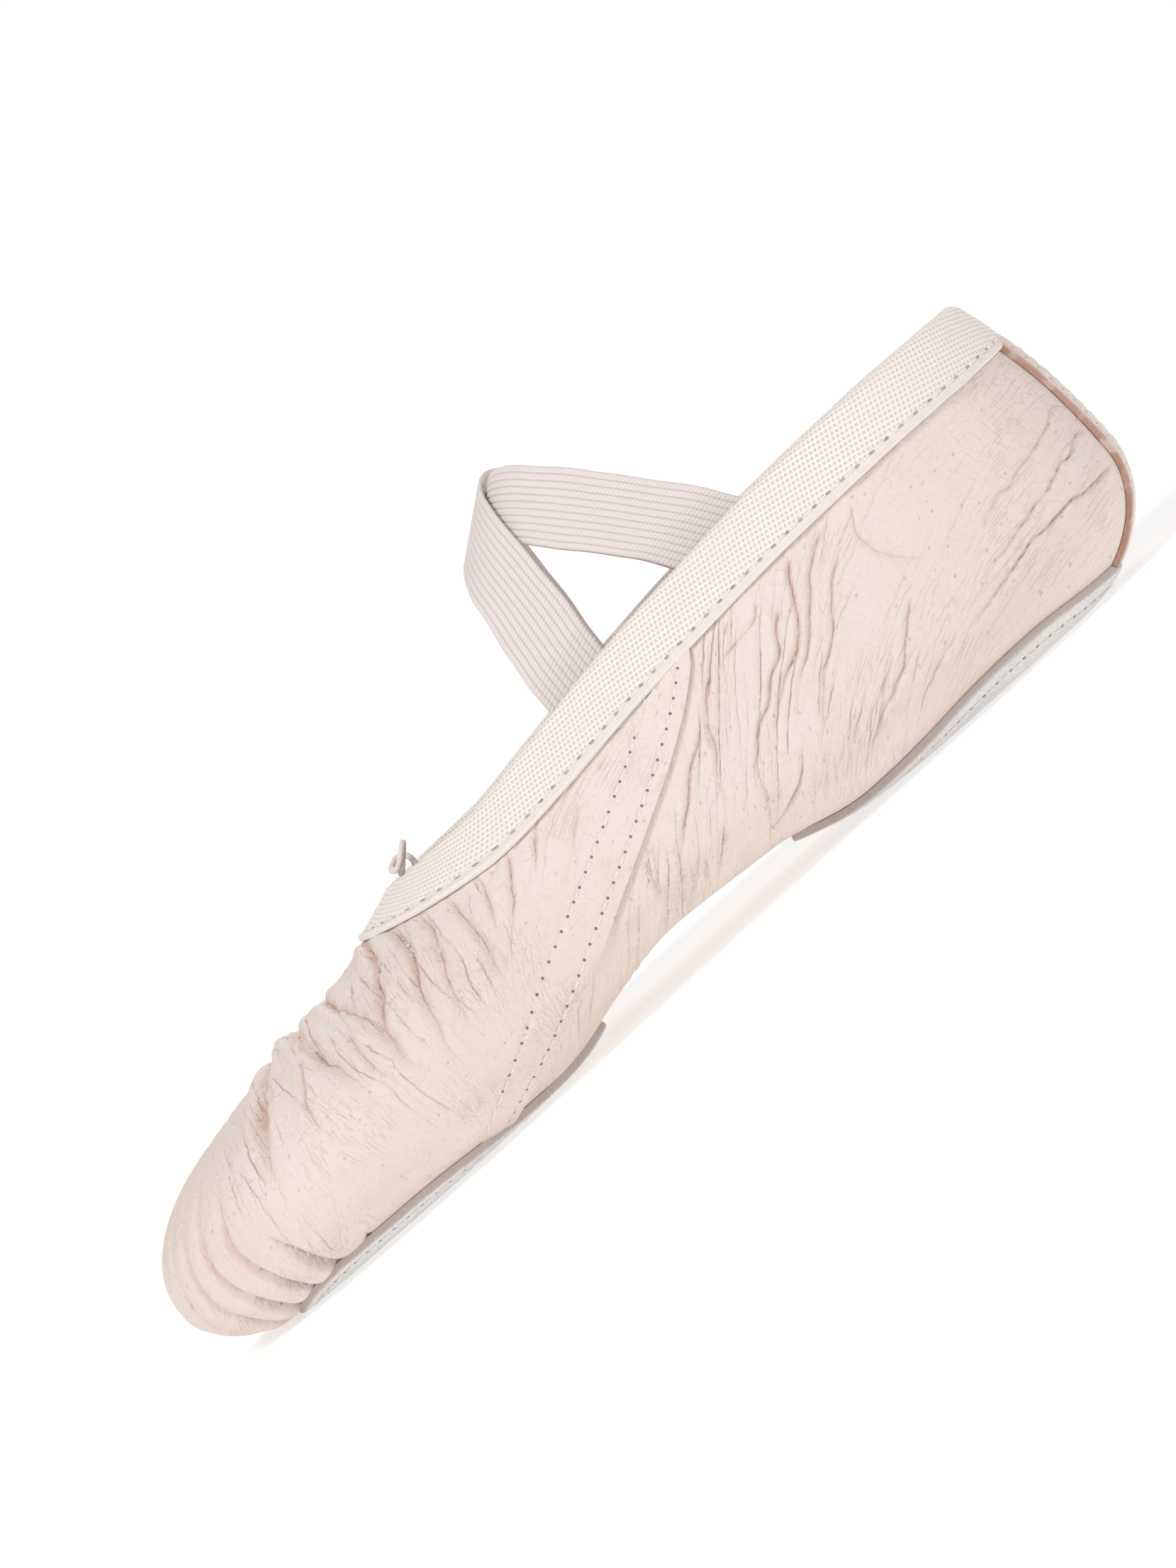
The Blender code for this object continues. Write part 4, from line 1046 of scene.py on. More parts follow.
def side_relief(side, from_toe, points, normals):
    """Heights of a side piece's creases over the last, what its finish reads, and the distances along and
    across its wrinkles. It lies smooth under the vamp, the binding, the strip over the back seam and the
    patches, and dips where it meets the other one under the arch."""
    from_edge, _ = nearest(skin(seam_from_toe(np.linspace(2, 0, 80)), np.linspace(2, 0, 80), side), points)
    behind = from_toe > seam_from_toe(wrap_at(from_toe, points[..., 2]))
    from_strip = np.hypot(np.maximum(np.abs(points[..., 0] - section(LENGTH)[0]) - STRIP_HALF_WIDTH, 0),
                          np.maximum(STRIP_FRONT - points[..., 1], 0))
    clear = (eased((from_collar(points) - TAPE_OUTSIDE + 1.2) / 3) * eased(from_edge / 3) * behind
             * eased(from_strip / 3) * eased(beyond_patch(FOREFOOT_PATCH, points) / 3)
             * eased(beyond_patch(HEEL_PATCH, points) / 3))
    folds, dark, from_fold = folded(points, normals, OUTER_CREASES if side == OUTER else INNER_CREASES, side)
    along, across = wrinkle_lines(from_toe, points[..., 2])
    seed = 20 if side == OUTER else 40
    worn = (clear * (0.35 + 0.65 * eased((STRIP_FRONT - from_toe) / 30))
            * (0.45 + 0.55 * eased((points[..., 2] - 5) / 8)))
    from_crease, wear = creased(across, along, spacing=4.2, length=24.0, seed=seed)
    from_fine, fine_wear = creased(across, along, spacing=2.7, length=12.0, seed=seed + 5)
    off_middle = np.abs(points[..., 0] - section(from_toe)[0]) + np.where(points[..., 2] > ARCH_BELOW, 50, 0)
    butt = -0.45 * furrow(off_middle, 0.5) - ARCH_DIP * furrows(off_middle, ARCH_ROWS, 0.6)
    height = (clear * (folds + 0.35 * swells(points, 34, seed=seed + 9)) + butt
              - worn * (CREASE_DEPTH * wear * furrow(from_crease)
                        + SIDE_FINE_DEPTH * fine_wear * furrow(from_fine, 0.45)))
    # fold is painted shade in the depth of the creases.
    fields = {"fold": clear * dark, "from_fold": from_fold, "wear": worn * wear,
              "from_crease": from_crease, "fine_wear": worn * fine_wear, "from_fine": from_fine,
              "off_middle": off_middle, "along_arch": from_toe}
    return height, fields, np.stack([along, across], -1)


def make_side(name, side):
    """One side piece. Its back follows its creases only a little, so that they don't show inside."""
    from_toe, points, normals = side_grid(side)
    height, fields, uv = side_relief(side, from_toe, points, normals)
    fine = moved_out(points, normals, height)
    back = np.minimum(np.maximum(height, -BACK_DIP) - LEATHER, height - THINNEST)
    coarse = moved_out(points, normals, back)[::STEP, ::STEP]
    kept = kept_cells(points)
    goes_on = np.zeros((kept.shape[0] + 2, kept.shape[1] + 2), bool)
    goes_on[-1, 1:-1] = True
    faces = shell_faces(fine.shape[0] - 1, fine.shape[1] - 1, kept, goes_on, 0, fine[..., 0].size)
    fields = {field: fine_and_coarse(values) for field, values in fields.items()}
    piece = add_piece(name, np.concatenate([fine.reshape(-1, 3), coarse.reshape(-1, 3)]), faces, side_leather,
                      fine_and_coarse(uv, 2), **fields)
    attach(piece, "root")
    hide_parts("upper")


side_leather = leather_finish("side_leather", ARCH_ROWS, "off_middle", "along_arch")
make_side("side_outer", OUTER)
make_side("side_inner", INNER)


# ---------------- lining
# Thin cotton cloth glued inside the leather. It shows inside the collar and down to the insoles.

LINING = 0.4
LINING_OFFSET = -0.9  # its outer face, from the last's skin
TAPE_INSIDE = 9.0  # width of the binding on the inside
LINING_ROWS, LINING_COLUMNS = (72, 144, 8), 80  # to the throat, to the collar's back, and to the heel's back
LINING_EVEN_AT = 110.0  # from_toe where its columns are evenly spaced
LINING_COLOURS = (0.78, 0.66, 0.57, 1), (0.88, 0.78, 0.70, 1)


def shaken(tree, lying, where, scale, by):
    """Distances along and across, shaken by noise over a distance in metres."""
    shake = add_node(tree, "ShaderNodeTexNoise", {"Vector": where, "Scale": scale}).outputs["Color"]
    moved = add_node(tree, "ShaderNodeVectorMath", {0: shake, "Scale": by}, operation="SCALE").outputs[0]
    return vector_maths(tree, "ADD", lying, moved)[0]


def ribs(tree, where, scale, direction, **more):
    """Rounded ribs: a sine wave across a direction."""
    wanted = {"Vector": where, "Scale": scale, **more}
    return add_node(tree, "ShaderNodeTexWave", wanted, bands_direction=direction).outputs["Fac"]


def cotton_finish(name, colours, threads_per_mm=1.6, fluff=0.06):
    """Plain woven cotton: two crossed sets of rounded threads, with soft uneven colour from dark to light."""
    finish, tree, shader = new_finish(name, 0.9, Sheen_Weight=0.15, Specular_IOR_Level=0.15)
    where = place_on(tree, "Object")
    lying = shaken(tree, place_on(tree, "UV"), where, 300.0, 0.5 * MM)
    weave = 0.0
    for direction in ("X", "Y"):
        threads = ribs(tree, lying, threads_per_mm / MM / 6.28 * 2, direction)
        weave = maths(tree, "MULTIPLY_ADD", threads, 0.5, weave)
    cloudy = times(tree, noise(tree, where, 60.0, 4.0), 0.5)
    shade = maths(tree, "MULTIPLY_ADD", weave, 0.5, cloudy)
    height = raised(tree, times(tree, weave, 0.08), noise(tree, where, 1200.0, 3.0), fluff)
    dress(tree, shader, mixed(tree, ramped(tree, shade, 0.2, 0.8), *colours), height)
    return finish


def make_lining():
    """Both halves of the lining, from the toe's tip to the heel's back. The face that shows is the inner one,
    and it follows the leather's folds and pleats where they go inwards."""
    to_throat, to_back, to_heel = LINING_ROWS
    places = np.concatenate([even_places(0, THROAT, 0.3, to_throat)[:-1],
                             np.linspace(THROAT, COLLAR_BACK, to_back + 1)[:-1],
                             even_places(COLLAR_BACK, LENGTH, 0.6, to_heel)])
    wrap = even_wraps(LINING_EVEN_AT, LINING_COLUMNS)
    from_toe = np.broadcast_to(places[:, None], (len(places), LINING_COLUMNS + 1))
    halves = []
    for side in (OUTER, INNER):
        points = skin(from_toe, np.broadcast_to(wrap, from_toe.shape), side)
        normals = outward(points, side, 0)
        normals[-1] = [0, 1, 0]
        below_binding = eased((from_collar(points) - TAPE_INSIDE) / 2.5)
        courses = OUTER_FOLDS if side == OUTER else INNER_FOLDS
        wider = [(depth, 1.5 * width, course) for depth, width, course in courses]
        folds = np.minimum(folded(points, normals, courses, side)[0], folded(points, normals, wider, side)[0])
        clear = below_binding * eased(beyond_patch(FOREFOOT_PATCH, points) / 2.5) * (from_toe < 130)
        leather = clear * (folds + top_swells(points, from_toe) - 0.5)
        height = np.minimum(leather + pleated(points)[0] * below_binding, 0)
        fine = moved_out(points, normals, height + LINING_OFFSET - LINING)
        coarse = (fine + LINING * normals)[::STEP, ::STEP]
        uv = np.stack([distance_on_grid(points, 0), side * distance_on_grid(points, 1)], -1)
        halves.append({"fine": fine, "coarse": coarse, "kept": kept_cells(points), "tips": (0, -1),
                       "uv": uv, "fields": {}})
    closed = ((0, to_throat), (to_throat + to_back, sum(LINING_ROWS)))
    return joined_halves("lining", cotton_finish("lining_cotton", LINING_COLOURS), halves, closed)


lining = make_lining()
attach(lining, "root")
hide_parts("upper")


# ---------------- strip over the back seam
# A strip of the same leather, sewn on over the seam that joins the side pieces at the heel, with two rows of
# stitching along each side. Its edges are cut raw, and it goes under the binding at the top.

GAP = 0.3  # room between two pieces that meet
STRIP_THICK = 1.0
STRIP_FOOT = 3.6  # height of its lower end, just over the heel patch
STRIP_TOP = float(collar_height(COLLAR_BACK)) - TAPE_OUTSIDE + 1.5  # and of its upper end, under the binding
STRIP_SEAMS = (-7.6, -2.4, 2.4, 7.6)  # stitching, across the strip


def heel_back(x, height):
    """from_toe of the heel's back at a point seen from behind, found by halving."""
    low, high = np.full(np.shape(x), LENGTH - HEEL_TOP_CAP), np.full(np.shape(x), LENGTH)
    for _ in range(40):
        middle = (low + high) / 2
        inside = outside(np.stack([x, middle, height], -1)) < 0
        low, high = np.where(inside, middle, low), np.where(inside, high, middle)
    return (low + high) / 2


def back_frame(x, z, step=0.05):
    """Points of the heel's back, and its normal there."""
    lean_x = (heel_back(x + step, z) - heel_back(x - step, z)) / (2 * step)
    lean_z = (heel_back(x, z + step) - heel_back(x, z - step)) / (2 * step)
    return np.stack([x, heel_back(x, z), z], -1), unit(np.stack([-lean_x, np.ones_like(x), -lean_z], -1))


def closed_plate(name, near, far, finish, uv, **fields):
    """A plate between two equal grids of points, closed all round by its edge."""
    rows, columns = near.shape[:2]
    index = np.arange(rows * columns).reshape(rows, columns)
    under = index + rows * columns
    rim = np.concatenate([index[0], index[1:, -1], index[-1, -2::-1], index[-2::-1, 0]])
    faces = np.concatenate([grid_faces(index), grid_faces(under)[:, ::-1],
                            grid_faces(np.stack([rim, rim + rows * columns]))])
    twice = {key: np.tile(values.ravel(), 2) for key, values in fields.items()}
    return add_piece(name, np.concatenate([far.reshape(-1, 3), near.reshape(-1, 3)]), faces.tolist(), finish,
                     np.tile(uv.reshape(-1, 2), (2, 1)), **twice)


def strip_thickness(off, points):
    """The strip thins at its cut edges, and along its stitching."""
    edge = STRIP_HALF_WIDTH - np.abs(off)
    return (STRIP_THICK - 0.35 * np.exp(-edge / 0.25) - 0.14 * furrows(off, STRIP_SEAMS, 0.5)
            + 0.05 * swells(points, 6, seed=62))


def make_heel_strip(rows=110, columns=60):
    """The strip as a plate on the heel's back, close to it at the edges, with slightly uneven cut sides."""
    across = np.linspace(-STRIP_HALF_WIDTH, STRIP_HALF_WIDTH, columns + 1)
    x, z = np.meshgrid(section(LENGTH)[0] + across, np.linspace(STRIP_FOOT, STRIP_TOP, rows + 1))
    x = x + 0.12 * np.sign(x - section(LENGTH)[0]) * swells(np.stack([0 * x, 0 * x, z], -1), 7, seed=61)
    skin_points, out = back_frame(x, z)
    off = x - section(LENGTH)[0]
    edge = np.minimum(STRIP_HALF_WIDTH - np.abs(off), 3)
    near = moved_out(skin_points, out, GAP - 0.2 * np.exp(-edge / 0.8))
    far = moved_out(skin_points, out, GAP + strip_thickness(off, skin_points))
    finish = leather_finish("strip_leather", STRIP_SEAMS, "off_middle", "up")
    return closed_plate("heel_strip_leather", near, far, finish, np.stack([z, off], -1),
                        # Its fold field is a little painted shade along the stitching's furrows.
                        fold=0.12 * furrows(off, STRIP_SEAMS, 0.5), from_fold=np.full(off.shape, 1.0),
                        cut=furrow(edge, 0.5), off_middle=off, up=z)


heel_strip = make_heel_strip()
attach(heel_strip, "root")
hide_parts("heel_strip")


# ---------------- binding
# Woven cotton tape, folded over the leather's edge all round the collar and sewn through near its lower edge.
# The fold is left loose at the top as a channel for the drawstring, which gathers it at the throat.

TAPE, TAPE_GAP, LINING_GAP = 0.8, 0.35, 0.6
WALL = 1.3  # leather and lining together
TAPE_SEAM = 1.7  # stitching, above the tape's lower edge
TAPE_PITCH = 3.3
OUTSIDE_DEPTHS = (  # of the points down each leg of the tape, from the leather's edge
    0.01, 0.8, 1.7, 2.7, 3.8, 5.0, 6.2, 7.3, 8.1, 8.5, 8.8, 9.1, 9.6, 10.1, 10.4, TAPE_OUTSIDE,
)
INSIDE_DEPTHS = (0.01, 1.5, 3.0, 4.5, 6.0, 7.5, 8.6, TAPE_INSIDE)
GATHERED = 26.0  # the drawstring gathers the tape this far from the throat
JOIN = 0.03  # share of one step that the tape's ends are apart, too narrow to show
TAPE_THREADS = ((-12, 0.95), (62, 0.85))  # each set's turn from the tape's length, and its spacing
TAPE_COLOURS = (0.79, 0.69, 0.615, 1), (0.95, 0.885, 0.825, 1)
# The hole colour is painted shade in the needle holes.
TAPE_BLUSH, TAPE_HOLE_SHADE = (0.93, 0.81, 0.75, 1), (0.42, 0.28, 0.21, 1)
HOLE_SQUEEZE = 0.35  # the tape's holes are long: along it, a distance from one counts this much


def collar_frames(count):
    """At each point of the collar's edge: the point, the skin's normal, and the way down along the skin."""
    edge = collar_edge(count)
    along = unit(np.roll(edge, -1, 0) - np.roll(edge, 1, 0))
    out = skin_normal(edge)
    return edge, out, unit(np.cross(along, out))


def down_the_skin(edge, out, down, distances):
    """Points and normals of the skin at rising distances below the collar's edge, walked in short steps."""
    point, places, normals, gone = edge, [], [], 0.0
    for distance in distances:
        steps = max(1, int(np.ceil((distance - gone) / 1.5)))
        for _ in range(steps):
            point = settled(point + down * (distance - gone) / steps)
            out = skin_normal(point)
            down = unit(down - (down * out).sum(-1, keepdims=True) * out)
        gone = distance
        places.append(point)
        normals.append(out)
    return np.stack(places, 1), np.stack(normals, 1)


def turned(tree, lying, degrees):
    """Distances along and across in millimetres, turned on the cloth."""
    return add_node(tree, "ShaderNodeMapping", {"Vector": lying, "Rotation": (0, 0, np.radians(degrees)),
                                                "Scale": (1 / MM, 1 / MM, 1 / MM)}).outputs[0]


def tape_finish():
    """Twill tape: two sets of rounded threads cross, each a sine wave across its own direction, and small
    dark gaps stand in a lattice where both are low. Along the bottom the threads run lengthwise, and the
    needle holes, with painted shade in them, are just above these."""
    finish, tree, shader = new_finish("binding_tape", 0.85, Sheen_Weight=0.15, Specular_IOR_Level=0.2)
    where, lying = place_on(tree, "Object"), place_on(tree, "UV")
    parts = add_node(tree, "ShaderNodeSeparateXYZ", {0: lying}).outputs
    run, down = parts[0], parts[1]
    bent = shaken(tree, lying, where, 400.0, 0.25 * MM)
    first, second = (ribs(tree, turned(tree, bent, turn), 0.314 / apart, "Y") for turn, apart in TAPE_THREADS)
    gaps = ramped(tree, times(tree, first, second), 0.28, 0.95)
    dark = maths(tree, "MULTIPLY_ADD", first, 0.45, times(tree, gaps, 0.55))
    twill = maths(tree, "SUBTRACT", 1.0, dark)
    lengthwise = ribs(tree, stretched(tree, lying, 60, 1000, 1), 0.62, "Y", Distortion=0.5)
    lengthwise = maths(tree, "MULTIPLY_ADD", lengthwise, 0.55, 0.45)
    edge = ramped(tree, down, (TAPE_OUTSIDE - 1.6) * MM, (TAPE_OUTSIDE - 1.3) * MM)
    thread = add_node(tree, "ShaderNodeMix", {0: edge, 2: twill, 3: lengthwise}).outputs[0]
    colour = mixed(tree, ramped(tree, thread, 0.0, 0.75), *TAPE_COLOURS)
    colour = tinted(tree, colour, ramped(tree, noise(tree, where, 50.0, 3.0), 0.35, 0.75), 0.35, TAPE_BLUSH)
    squeezed, row = times(tree, run, HOLE_SQUEEZE), (TAPE_OUTSIDE - TAPE_SEAM) * MM
    hole = needle_holes(tree, squeezed, down, (row,), HOLE_SQUEEZE * TAPE_PITCH * MM, 0.10 * MM, 0.30 * MM)
    # Painted shade in the needle holes.
    colour = tinted(tree, colour, hole, 0.7, TAPE_HOLE_SHADE)
    height = raised(tree, times(tree, thread, 0.20), noise(tree, where, 1500.0, 2.0), 0.05)
    dress(tree, shader, colour, raised(tree, height, hole, -0.25))
    return finish


def tape_waves(run, round_trip):
    """Short puckers where the drawstring gathers the tape, and long loose waves all round it. Each is the sum
    of two sine waves along the tape."""
    gathered = eased((GATHERED - np.minimum(run, round_trip - run)) / 22)
    pucker = gathered * (0.22 * np.sin(2 * np.pi * run / 2.6 + 1.5 * np.sin(run / 4))
                         + 0.14 * np.sin(2 * np.pi * run / 1.45 + 1))
    return pucker, 0.10 * np.sin(run / 5.1) + 0.08 * np.sin(run / 2.7 + 2)


def tape_bulge(run, depths, pucker, loose):
    """How far the outer leg stands off: more under the fold and where it is slack, less along its stitching.
    Its selvedge is thick with a round edge, the waves fade down it, and each stitch lifts it a little."""
    seam_pull = np.exp(-((depths - (TAPE_OUTSIDE - TAPE_SEAM)) / 0.55) ** 2)
    slack = np.exp(-((depths - 4.5) / 2.6) ** 2)
    selvedge = eased((depths - 9.0) / 0.5) * 0.10
    round_edge = 0.45 * np.clip((depths - 10.2) / 0.3, 0, 1) ** 2
    profile = 0.32 * np.exp(-(depths / 2.2) ** 2) + 0.16 * slack - 0.18 * seam_pull + selvedge - round_edge
    return (profile[None] + (0.5 * pucker + loose)[:, None] * np.exp(-(depths / 5.5) ** 2)[None]
            + (0.06 * np.sin(2 * np.pi * run / TAPE_PITCH))[:, None] * eased((depths - 6.5) / 2)[None])


def make_binding(count=760):
    """The tape as a closed ring of profiles, each an inverted U with a wall: up its outer face from the
    selvedge, over the fold, down and up the leg inside the collar, back under the fold, and down behind the
    outer face. Gives the piece, and the place of its stitching."""
    edge, out, down = collar_frames(count)
    run = distance_along(np.concatenate([edge, edge[:1]]))[:-1]
    round_trip = run[-1] + np.linalg.norm(edge[0] - edge[-1])
    near, far = TAPE_GAP, TAPE_GAP + TAPE
    inner_near, inner_far = -WALL - LINING_GAP, -WALL - LINING_GAP - TAPE
    middle, arm = (far + inner_far) / 2, (far - inner_far) / 2

    depths, inside_depths = np.array(OUTSIDE_DEPTHS), np.array(INSIDE_DEPTHS)
    places, normals = down_the_skin(edge, out, down, depths)
    pucker, loose = tape_waves(run, round_trip)
    bulge = tape_bulge(run, depths, pucker, loose)
    ragged = ((0.10 * np.sin(run / 3.3 + 1) + 0.07 * np.sin(run / 1.9))[:, None]
              * eased((depths - 8) / 2.5)[None])
    outer_leg = moved_out(moved_out(places, normals, far + bulge), down[:, None], ragged)
    outer_back = places[:, ::-1][:, ::3] + near * normals[:, ::-1][:, ::3]
    inside_places, inside_normals = down_the_skin(edge, out, down, inside_depths)
    inner_leg = inside_places + inner_far * inside_normals
    inner_back = inside_places[:, ::-1][:, ::2] + inner_near * inside_normals[:, ::-1][:, ::2]

    over, under = np.linspace(0, np.pi, 17)[1:-1], np.linspace(np.pi, 0, 7)[1:-1]
    lift = (arm + 0.25 + pucker + 0.5 * loose)[:, None, None]
    crown = (edge[:, None] + (middle + (arm + 0.30) * np.cos(over))[None, :, None] * out[:, None]
             - (lift * np.sin(over)[None, :, None]) * down[:, None])
    hollow = (edge[:, None] + (middle + (arm - TAPE) * np.cos(under))[None, :, None] * out[:, None]
              - ((lift - TAPE) * np.sin(under)[None, :, None]) * down[:, None])
    rings = np.concatenate([outer_leg[:, ::-1], crown, inner_leg, inner_back, hollow, outer_back[:, ::-1]], 1)
    fold = arm * np.pi
    across = np.concatenate([depths[::-1], -over / np.pi * fold,
                             -fold - inside_depths, -fold - inside_depths[::-1][::2],
                             -under / np.pi * fold, depths[::-1][::3][::-1]])

    rings = np.concatenate([rings, (1 - JOIN) * rings[:1] + JOIN * rings[-1:]])
    run = np.append(run, (1 - JOIN) * round_trip + JOIN * run[-1])
    index = np.arange(rings[..., 0].size).reshape(rings.shape[:2])
    closing = np.concatenate([index[-1:], index[:1]])
    faces = np.concatenate([tube_faces(index), tube_faces(closing)])
    run = run * np.round(round_trip / TAPE_PITCH) * TAPE_PITCH / round_trip  # whole stitches all round
    piece = add_piece("binding_tape", rings.reshape(-1, 3), faces.tolist(), tape_finish(),
                      pairs(run, across).reshape(-1, 2))
    seam = len(depths[depths < TAPE_OUTSIDE - TAPE_SEAM])
    return piece, (run[:-1], outer_leg[:, seam], normals[:, seam])


binding, binding_row = make_binding()
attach(binding, "root")
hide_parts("binding")


# ---------------- sole patches
# Two leaf-shaped patches of thick grey suede, one under the forefoot and one under the heel, sewn on through
# the leather with white thread. The slipper stands on them.

SUEDE = 1.4
FOREFOOT_SEAMS, HEEL_SEAMS = (2.6, 7.6), (3.6,)  # stitching, in from the patch's edge
SOLE_PITCH = 3.4
SUEDE_COLOURS = (0.84, 0.815, 0.795, 1), (0.94, 0.925, 0.91, 1)
# The hole colour is painted shade in the needle holes.
NAP_SHADE, FLECK, SUEDE_HOLE_SHADE = (0.50, 0.48, 0.465, 1), (0.93, 0.92, 0.91, 1), (0.09, 0.07, 0.06, 1)
# The edge colour is a brown painted shade along the patch's edge.
SUEDE_EDGE_SHADE = (0.50, 0.41, 0.36, 1)


def underside_normal(x, from_toe, step=0.05):
    """Direction straight down and out of the last's underside."""
    tilt_x = (underside(x + step, from_toe) - underside(x - step, from_toe)) / (2 * step)
    tilt_s = (underside(x, from_toe + step) - underside(x, from_toe - step)) / (2 * step)
    return unit(np.stack([tilt_x, tilt_s, -np.ones_like(tilt_x)], -1))


def bunched(low, high, count):
    """Places from low to high, closer together at both ends."""
    return low + (high - low) * (1 - np.cos(np.linspace(0, np.pi, count + 1))) / 2


def shrunk(patch, margin):
    """The same leaf, smaller by a margin all round."""
    return {**patch, "front": patch["front"] + margin, "rear": patch["rear"] - margin,
            "half_width": patch["half_width"] - margin}


def patch_plan(patch, rows, columns):
    """Plan positions over a patch, as rows across it from the front tip to the rear tip."""
    s = bunched(patch["front"], patch["rear"], rows)
    x = section(s)[0][:, None] + patch_half_width(patch, s)[:, None] * bunched(-1, 1, columns)[None]
    return x, np.broadcast_to(s[:, None], x.shape)


def suede_finish(seams):
    """Grey suede: a short nap that catches the light, brushed into lighter and darker patches, with pale
    specks, painted shade in its needle holes, and a brown painted shade along its edge."""
    finish, tree, shader = new_finish("suede_%d" % len(seams), 0.95, Sheen_Weight=0.35, Sheen_Roughness=0.4,
                                      Specular_IOR_Level=0.1)
    where, inward = place_on(tree, "Object"), attribute(tree, "inward")
    nap = noise(tree, where, 1900.0, 3.0, Roughness=0.7)
    brushed = noise(tree, stretched(tree, where, 90, 35, 90), 1.0, 4.0, Distortion=1.2)
    colour = mixed(tree, ramped(tree, brushed, 0.35, 0.65), *SUEDE_COLOURS)
    colour = mixed(tree, ramped(tree, nap, 0.35, 0.75), mixed(tree, 0.5, colour, NAP_SHADE), colour)
    chosen, from_fleck = cell_pattern(tree, where, 900.0)
    fleck = times(tree, ramped(tree, chosen, 0.86, 0.9), falling(tree, from_fleck, 0.1, 0.3))
    colour = tinted(tree, colour, fleck, 0.8, FLECK)
    hole = needle_holes(tree, attribute(tree, "run"), inward, seams, SOLE_PITCH, 0.25, 0.5)
    # Painted shade in the needle holes.
    colour = tinted(tree, colour, hole, 0.8, SUEDE_HOLE_SHADE)
    # A brown painted shade along the patch's edge.
    colour = tinted(tree, colour, falling(tree, inward, 0.0, 0.4), 0.65, SUEDE_EDGE_SHADE)
    height = raised(tree, times(tree, noise(tree, where, 500.0, 2.0), 0.10), nap, 0.14)
    dress(tree, shader, colour, raised(tree, height, hole, -0.25))
    return finish


def suede_bottom(x, from_toe, inward, seams):
    """The patch's face on the floor side: its thickness under the last, less where a stitching row pulls it
    in, and pressed flat by the floor."""
    points = on_underside(x, from_toe)
    thick = (SUEDE - 0.45 * np.exp(-inward / 0.22) - 0.28 * furrows(inward, seams, 0.7)
             - 0.03 * (1 + swells(points, 3, seed=71)))
    far = moved_out(points, underside_normal(x, from_toe), GAP + thick)
    far[..., 2] = np.maximum(far[..., 2], 0.0)
    return far


def make_sole(name, node_name, patch, seams, rows=150, columns=90):
    """A patch as a plate between the leather and its own worn face, thinner at the edge."""
    x, s = patch_plan(patch, rows, columns)
    skin_points = on_underside(x, s)
    inward, run = nearest(patch_outline(patch, 400), skin_points)
    near = moved_out(skin_points, underside_normal(x, s), GAP - 0.2 * np.exp(-inward / 0.8))
    piece = closed_plate(name, near, suede_bottom(x, s, inward, seams), suede_finish(seams),
                         np.stack([x, s], -1), run=run, inward=inward)
    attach(piece, "root")
    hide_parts(node_name)


make_sole("forefoot_suede", "sole_forefoot", FOREFOOT_PATCH, FOREFOOT_SEAMS)
make_sole("heel_suede", "sole_heel", HEEL_PATCH, HEEL_SEAMS)


# ---------------- insoles
# Thin foam pads covered with brushed cotton, glued in over the forefoot and the heel. They are soft and a
# little crowned, and the cover is turned under at the edge.

INSOLE, INSOLE_GAP, INSOLE_MARGIN = 2.0, 0.55, 3.0
INSOLE_COLOURS = (0.80, 0.70, 0.62, 1), (0.90, 0.81, 0.73, 1)


def make_insole(name, node_name, patch, rows=90, columns=60):
    """A pad as a plate that lies on the lining: thin and round at the edge, a little higher in the middle,
    and softly uneven."""
    small = shrunk(patch, INSOLE_MARGIN)
    x, s = patch_plan(small, rows, columns)
    skin_points = on_underside(x, s)
    out = underside_normal(x, s)
    inward, _ = nearest(patch_outline(small, 200), skin_points)
    rest = WALL + INSOLE_GAP
    crown = (INSOLE * (1 - 0.75 * np.exp(-inward / 0.8)) + 0.35 * eased(inward / 12)
             + 0.12 * swells(skin_points, 17, seed=81) * eased(inward / 5))
    near = moved_out(skin_points, -out, rest + 0.25 * np.exp(-inward / 0.6))
    far = moved_out(skin_points, -out, rest + crown)
    finish = cotton_finish(name + "_cotton", INSOLE_COLOURS, threads_per_mm=1.2, fluff=0.12)
    piece = closed_plate(name, near, far, finish, np.stack([x, s], -1))
    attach(piece, "root")
    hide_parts(node_name)


make_insole("forefoot_insole", "insole_forefoot", FOREFOOT_PATCH)
make_insole("heel_insole", "insole_heel", HEEL_PATCH)


# ---------------- elastic straps
# Two flat bands of ribbed elastic, sewn inside the collar, cross on the front of the ankle. They keep the
# shape that the ankle gives them: a rounded ridge that leans back from the instep.

ELASTIC, ELASTIC_HALF_WIDTH = 1.0, 7.0
ELASTIC_RIBS = 11
CROSSING_FROM_TOE, CROSSING_HEIGHT = 136.5, 83.0
RIDGE_LEAN, RIDGE_HALF_WIDTH, RIDGE_DEPTH, RIDGE_ROUNDNESS = 38.0, 22.2, 44.0, 2.6
STRAP_ROUTE = (  # round the ankle from the crossing, + to the strap's first end, and up the ankle
    (70.0, 5.6), (57.0, 5.3), (36.0, 5.0), (16.0, 3.8), (0.0, 0.0), (-16.0, -9.6), (-36.0, -29.0),
    (-44.0, -38.0),
)
STRAP_SEAT_GAP = 0.5  # between the ends and the binding inside the collar
HELD_BELOW, FREE_ABOVE = 3.0, 8.0  # from the collar's edge: lower it lies on the collar, higher on the ankle
STRAP_GAP = 0.55  # between the two straps where they cross
LIFT_FULL, LIFT_ENDS = 20.0, 42.0  # the upper one is lifted over the lower one this far round the ankle
TACK_ROWS = np.array([1.5, 5.0])  # the rows of stitching that hold an end, from its cut edge
TACK_PITCH = 1.8
FURROW_THICKNESS, RIB_RISE = 0.26, 0.24  # half the thickness between two ribs, and what a rib adds
